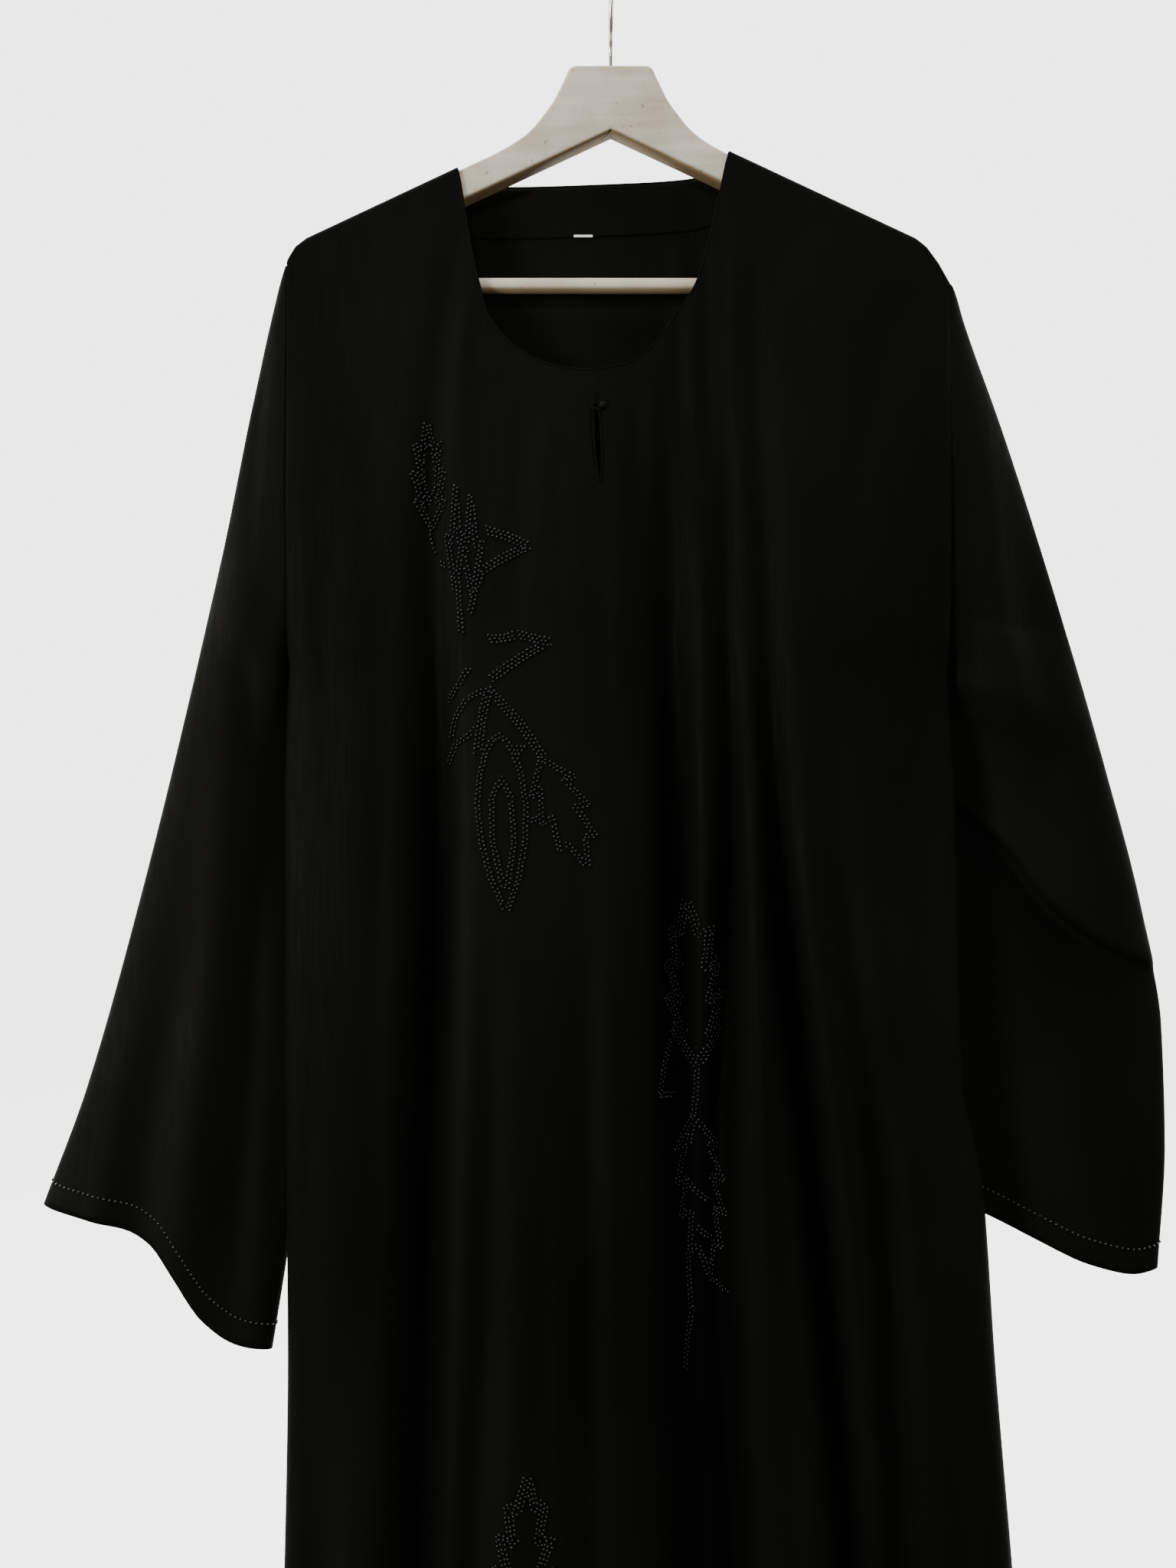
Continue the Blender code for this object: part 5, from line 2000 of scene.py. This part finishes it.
    def edge(self, name: str, panel: Panel, radius: float) -> Object:
        """Rolled edge of a panel's neckline.

        Args:
            name: The piece's name.
            panel: The panel.
            radius: Radius of the roll.

        Returns:
            The rolled edge.
        """
        inset = self.binding_inset
        inside = (panel.tops > NECK_LEFT + inset) & (panel.tops < NECK_RIGHT - inset)
        path = [tuple(point) for point in panel.grid[inside, 0]]
        return finished(tube(name, path, radius), "black_crepe", self.cloth)

    def slit_binding(self) -> Object:
        """Rolled edge round the slit.

        Returns:
            The rolled edge.
        """
        rows = [(x, z, w + 0.0004) for x, z, w in self.slit_line(self.slit_steps)]
        outline = [(x + w, z) for x, z, w in rows] + [(x - w, z) for x, z, w in rows[-1:0:-1]]
        path = []
        for x, z in outline:
            point, normal = self.front.touch(x, z)
            path.append(tuple(point + normal * 0.0003))
        roll = tube("slit_binding", path, self.slit_binding_radius, closed=True)
        return finished(roll, "black_crepe", self.cloth)

    def button(self) -> Object:
        """Small round button beside the top of the slit.

        Returns:
            The button.
        """
        x, z, half = self.slit_line(self.slit_steps)[self.button_step]
        point, normal = self.front.touch(x + half + self.button_aside, z)
        middle = point + normal * (SHELL / 2 + 0.7 * self.button_radius)
        shape = SewnOn("slit_button", self.button_radius, self.button_radius,
                       self.button_flatness * self.button_radius,
                       variation=0.0, seed=1, segments=20, rings=12)
        return shape.build([Sewn(middle, Vector((1.0, 0.0, 0.0)), normal)], self.thread, "black_thread")

    def button_loop(self) -> Object:
        """Thread loop that crosses the slit to the button.

        Returns:
            The loop.
        """
        x, z, half = self.slit_line(self.slit_steps)[self.button_step]
        sewn_x = x + half + self.button_aside
        path = []
        for t in np.linspace(0.0, 1.0, 25):
            turn = pi * (0.5 + t)
            across = sewn_x - self.loop_length * (-cos(turn)) if 0.0 < t < 1.0 else sewn_x
            height = z + self.loop_half_height * sin(turn)
            point, normal = self.front.touch(min(across, x + half + self.loop_over), height)
            path.append(tuple(point + normal * self.loop_lift))
        return finished(tube("button_loop", path, self.loop_radius), "black_thread", self.thread)

    def facing(self) -> None:
        """Facing inside the back neck, its stitches and the tab on its lower edge."""
        inside = (self.back.tops >= FACING_LEFT) & (self.back.tops <= FACING_RIGHT)
        tops, shares = self.back.tops[inside][:, None], self.back.shares[inside][:, None]
        start = self.back.falls[inside, :1]
        falls = start + np.linspace(FACING_SETBACK, FACING_HEIGHT, self.facing_steps)[None, :]
        band = Facing("back_neck_facing_cloth", self.back.points(tops, shares, falls))
        piece = band.shell(self.cloth, self.facing_wall)
        line = [tuple(point) for point in band.grid[2:-2, -2]]
        seam = self.stitches("stitches_facing", spaced_places(band, line, self.stitch_pitch, True))
        finished(piece, "black_crepe")
        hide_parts("back_neck_facing")
        self.label(band)

    def label(self, band: Facing) -> None:
        """Blank tab in front of the facing's lower edge.

        Args:
            band: The facing.
        """
        width, depth, height = self.label_size
        shares = np.linspace(0.0, 1.0, 7)
        columns = []
        for x in np.linspace(-width / 2, width / 2, 15):
            point, _ = band.touch(self.label_x + x, self.label_z + height / 2)
            columns.append([(self.label_x + x, point.y - self.label_out - 0.0002 * t,
                             self.label_z + height * (0.5 - t)) for t in shares])
        piece = add_object("neck_label_tape", grid_mesh("neck_label_tape", np.array(columns)))
        thicken(piece, "tape", depth)
        soft = piece.modifiers.new("soft edges", "BEVEL")
        soft.width = 0.0002
        soft.segments = 2
        finished(piece, "white_tape", TapeFinish().make())
        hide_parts("neck_label")


@dataclass
class Hanger:
    """Painted wooden hanger with its bar and its wire hook."""

    thickness: float = 0.0135
    edge_round: float = 0.0028
    head_top: float = -0.056
    head_half: float = 0.022
    head_round: float = 0.0065
    neck: Sequence[Pair] = (
        (0.0365, -0.0770), (0.0445, -0.0885), (0.0530, -0.0985), (0.0640, -0.1068), (0.0790, -0.1150),
        (0.0960, -0.1228),
    )
    arm_slope: float = 0.467
    arm_height: float = 0.0207
    apex_z: float = -0.099
    arm_end_x: float = 0.2100
    end_radius: float = 0.0215
    lobe_radius: float = 0.0125
    bar_z: float = -0.1985
    bar_radius: float = 0.005
    bar_setback: float = 0.00655
    wire_radius: float = 0.0016
    hook_radius: float = 0.0206
    hook_neck_z: float = -0.044
    shank_depth: float = 0.019
    shank_heights: Pair = (-0.060, -0.050)
    neck_turn: float = 1.36 * pi
    tip_turn: float = 1.41 * pi
    inner_x: float = 0.1790
    lobe_rise: float = 0.0045
    bore_gap: float = 0.0003
    bore_length: float = 0.030
    bore_spare: float = 0.001

    def build(self) -> None:
        """Builds and dresses the three pieces."""
        wood, wire = PaintedWoodFinish(), WireFinish()
        body, paint = self.body(), wood.make()
        for piece, node, material, slot in (
            (body, "hanger_body", paint, "painted_wood"),
            (self.bar(), "hanger_bar", paint, "painted_wood"),
            (self.hook(), "hanger_hook", wire.make(), "hook_wire"),
        ):
            finished(piece, slot, material)
            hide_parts(node)

    def arc(self, centre: Pair, radius: float, start: float, end: float, steps: int) -> list[Pair]:
        """Points of an arc, angles in radians from the first axis."""
        turns = np.linspace(start, end, steps + 1)
        return [(centre[0] + radius * cos(turn), centre[1] + radius * sin(turn)) for turn in turns]

    def half_outline(self) -> list[Pair]:
        """Right half of the board's outline, from the middle of its head round to the apex below.

        Returns:
            Its points, x and height.
        """
        top_line = self.apex_z + self.arm_height
        length = sqrt(1 + self.arm_slope ** 2)
        normal = (self.arm_slope / length, 1 / length)
        end_x = self.arm_end_x - self.end_radius
        touching_x = end_x + self.end_radius * normal[0]
        end_z = top_line - self.arm_slope * touching_x - self.end_radius * normal[1]
        corner = (self.head_half + 0.0005, self.head_top - self.head_round)
        head = [(0.0, self.head_top), (self.head_half, self.head_top)]
        head += self.arc(corner, self.head_round, pi / 2, 0.15, 10)[1:]
        neck = self.rounded([head[-1], *self.neck])
        end = self.arc((end_x, end_z), self.end_radius, asin(normal[1]), 0.0, 16)
        lobe_centre = (self.arm_end_x - self.lobe_radius, self.bar_z + self.lobe_rise)
        lobe = self.arc(lobe_centre, self.lobe_radius, 0.0, -pi * 0.98, 24)
        below = [(self.inner_x, self.apex_z - self.arm_slope * self.inner_x), (0.0, self.apex_z)]
        return head + neck + end + lobe + below

    def rounded(self, points: Sequence[Pair], steps: int = 4) -> list[Pair]:
        """Smooth curve through the middle points of a list, without its two end points.

        Args:
            points: The list.
            steps: Number of steps between two of its points.

        Returns:
            Points of the curve.
        """
        made = []
        for i in range(1, len(points) - 2):
            before, start, end, after = (np.array(points[i + k]) for k in (-1, 0, 1, 2))
            for t in np.linspace(0.0, 1.0, steps, endpoint=False):
                curve = (2 * start + (end - before) * t + (2 * before - 5 * start + 4 * end - after) * t ** 2
                         + (3 * start - before - 3 * end + after) * t ** 3) / 2
                made.append((float(curve[0]), float(curve[1])))
        return made + [points[-2]]

    def body(self) -> Object:
        """Board with rounded edges and the bores for its bar and hook.

        Returns:
            The board.
        """
        half = self.half_outline()
        outline = half + [(-x, z) for x, z in reversed(half[1:-1])]
        bm = bmesh.new()
        bm.faces.new([bm.verts.new((x, 0.0, z)) for x, z in outline])
        piece = from_bmesh("hanger_wood_plain", bm)
        thicken(piece, "board", self.thickness)
        edges = piece.modifiers.new("rounded edges", "BEVEL")
        edges.width = self.edge_round
        edges.segments = 5
        edges.limit_method = "ANGLE"
        edges.angle_limit = 1.2
        bores = [self.bar_bore("bore_left", -1), self.bar_bore("bore_right", 1), self.shank_bore()]
        done = carved(piece, bores, "hanger_wood")
        self.shade(done)
        return done

    def shade(self, piece: Object) -> None:
        """Smooth shading with sharp edges kept."""
        piece.data.shade_smooth()
        piece.data.set_sharp_from_angle(angle=0.6)

    def round_bar(self, name: str, radius: float, length: float, middle: Point, segments: int,
                  upright: bool = False) -> Object:
        """Round bar, across or upright.

        Args:
            name: Its name.
            radius: Its radius.
            length: Its length.
            middle: Its middle.
            segments: Number of its sides.
            upright: Whether it runs up instead of across.

        Returns:
            The bar.
        """
        bm = bmesh.new()
        bmesh.ops.create_cone(bm, cap_ends=True, segments=segments, radius1=radius, radius2=radius,
                              depth=length)
        if not upright:
            turn = Vector((0, 0, 1)).rotation_difference(Vector((1, 0, 0))).to_matrix()
            bmesh.ops.rotate(bm, matrix=turn, verts=bm.verts)
        bmesh.ops.translate(bm, vec=middle, verts=bm.verts)
        return from_bmesh(name, bm)

    def bar_bore(self, name: str, side: int) -> Object:
        """Cutter for one end of the bar.

        Args:
            name: Its name.
            side: -1 for the left end and 1 for the right one.

        Returns:
            The cutter.
        """
        end = self.arm_end_x - self.bar_setback + self.bore_gap
        middle = (side * (end - self.bore_length / 2), 0.0, self.bar_z)
        return self.round_bar(name, self.bar_radius + self.bore_gap, self.bore_length, middle, 32)

    def shank_bore(self) -> Object:
        """Cutter for the hook's shank.

        Returns:
            The cutter.
        """
        low = self.head_top - self.shank_depth - self.bore_spare
        middle = (0.0, 0.0, low + self.bore_length / 2)
        radius = self.wire_radius + self.bore_gap
        return self.round_bar("shank_bore", radius, self.bore_length, middle, 24, upright=True)

    def bar(self) -> Object:
        """Round bar between the arms' ends.

        Returns:
            The bar.
        """
        length = 2 * (self.arm_end_x - self.bar_setback)
        piece = self.round_bar("hanger_dowel", self.bar_radius, length, (0.0, 0.0, self.bar_z), 40)
        self.shade(piece)
        return piece

    def hook(self) -> Object:
        """Wire hook: straight shank and a round loop in the plane x = 0, open behind.

        Returns:
            The hook.
        """
        middle = self.wire_radius - self.hook_radius
        shank = [(0.0, z) for z in (self.head_top - self.shank_depth, *self.shank_heights)]
        bend = [(-0.0006, self.hook_neck_z - 0.001), (-0.0042, self.hook_neck_z + 0.0042)]
        loop = self.arc((0.0, middle), self.hook_radius, self.neck_turn, self.neck_turn - self.tip_turn, 66)
        path = [(0.0, y, z) for y, z in self.rounded([shank[0], *shank, *bend, *loop[1:4]], 4) + loop[3:]]
        return tube("hanger_wire", path, self.wire_radius)


class Lamp(NamedTuple):
    """Square soft light: its position, the point that it faces, the length of its side and its watts."""

    name: str
    place: Point
    target: Point
    size: float
    power: float


@dataclass
class Studio:
    """Pale floor, soft light and the photograph's viewpoint."""

    lamps: Sequence[Lamp] = (
        Lamp("key", (-2.0, -1.5, -0.45), (-0.25, 0.0, -0.95), 0.7, 84.0),
        Lamp("glint", (-0.35, -2.1, 0.35), (0.0, 0.0, -0.7), 0.3, 25.0),
        Lamp("fill", (2.1, -1.3, -0.6), (0.2, 0.0, -0.9), 1.2, 20.0),
        Lamp("back", (0.3, 2.2, 0.9), (0.0, 0.0, -0.6), 1.6, 60.0),
    )
    floor_z: float = -1.60
    floor_radii: Sequence[float] = (0.0, 1.0, 2.5, 6.0, 15.0, 60.0)
    floor_white: Point = (0.97, 0.97, 0.97)
    room_light: float = 0.22
    screen_light: float = 5.0
    backdrop: float = 3.8
    raised_screen: float = 0.6
    screen_from: float = -0.30
    screen_full: float = 0.40
    camera: Point = (-0.015, -0.758, -0.527)
    lens: float = 26.37
    sensor: float = 36.0

    def build(self) -> None:
        """Makes the stage, the lights, the world and the camera."""
        self.floor()
        for lamp in self.lamps:
            self.shine(lamp)
        self.sky()
        self.viewpoint()

    def floor(self) -> None:
        """Plain round floor as pale as the backdrop, which throws no light up at the cloth."""
        radii = np.array(self.floor_radii)
        around = np.linspace(0.0, 2 * pi, 97)[:, None]
        level = self.floor_z + 0 * radii * around
        grid = np.stack([radii * np.cos(around), radii * np.sin(around), level], axis=-1)
        floor = add_object("floor", grid_mesh("floor", grid))
        floor.data.materials.append(PlainFinish("pale_floor", self.floor_white).make())
        floor.visible_diffuse = floor.visible_glossy = False

    def shine(self, lamp: Lamp) -> None:
        """Sets up a lamp.

        Args:
            lamp: The lamp.
        """
        data = bpy.data.lights.new(lamp.name, "AREA")
        data.size = lamp.size
        data.energy = lamp.power
        light = add_object(lamp.name, data)
        light.location = lamp.place
        light.rotation_euler = (Vector(lamp.target) - Vector(lamp.place)).to_track_quat("-Z", "Y").to_euler()

    def sky(self) -> None:
        """Light from a pale screen behind and above in a dimmer room, and an even pale backdrop."""
        world = bpy.data.worlds.new("studio")
        world.use_nodes = True
        tree = world.node_tree
        place = tree.nodes.new("ShaderNodeTexCoord")
        parts = tree.nodes.new("ShaderNodeSeparateXYZ")
        change = tree.nodes.new("ShaderNodeMapRange")
        change.interpolation_type = "SMOOTHSTEP"
        change.inputs["From Min"].default_value = self.screen_from
        change.inputs["From Max"].default_value = self.screen_full
        change.inputs["To Min"].default_value = self.room_light
        change.inputs["To Max"].default_value = self.screen_light
        raised = tree.nodes.new("ShaderNodeMath")
        raised.operation = "MULTIPLY_ADD"
        raised.inputs[1].default_value = self.raised_screen
        tree.links.new(place.outputs["Generated"], parts.inputs[0])
        tree.links.new(parts.outputs["Z"], raised.inputs[0])
        tree.links.new(parts.outputs["Y"], raised.inputs[2])
        tree.links.new(raised.outputs[0], change.inputs["Value"])
        ray = tree.nodes.new("ShaderNodeLightPath")
        # Inputs 2 and 3 and output 0 of this node are its plain numbers
        seen = tree.nodes.new("ShaderNodeMix")
        seen.inputs[3].default_value = self.backdrop
        tree.links.new(ray.outputs["Is Camera Ray"], seen.inputs[0])
        tree.links.new(change.outputs["Result"], seen.inputs[2])
        background = tree.nodes["Background"]
        background.inputs["Color"].default_value = (1.0, 1.0, 1.0, 1.0)
        tree.links.new(seen.outputs[0], background.inputs["Strength"])
        bpy.context.scene.world = world

    def viewpoint(self) -> None:
        """Level camera straight in front of the chest, as the photograph was taken."""
        data = bpy.data.cameras.new("camera")
        data.sensor_width = self.sensor
        data.lens = self.lens
        camera = add_object("camera", data)
        camera.location = self.camera
        camera.rotation_euler = (pi / 2, 0.0, 0.0)
        bpy.context.scene.camera = camera


def main() -> None:
    """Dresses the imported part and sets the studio."""
    logging.basicConfig(level=logging.INFO, format="%(name)s: %(message)s")
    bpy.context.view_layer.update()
    Garment().build()
    Hanger().build()
    Studio().build()
    bpy.context.view_layer.update()


if __name__ == "__main__":
    main()
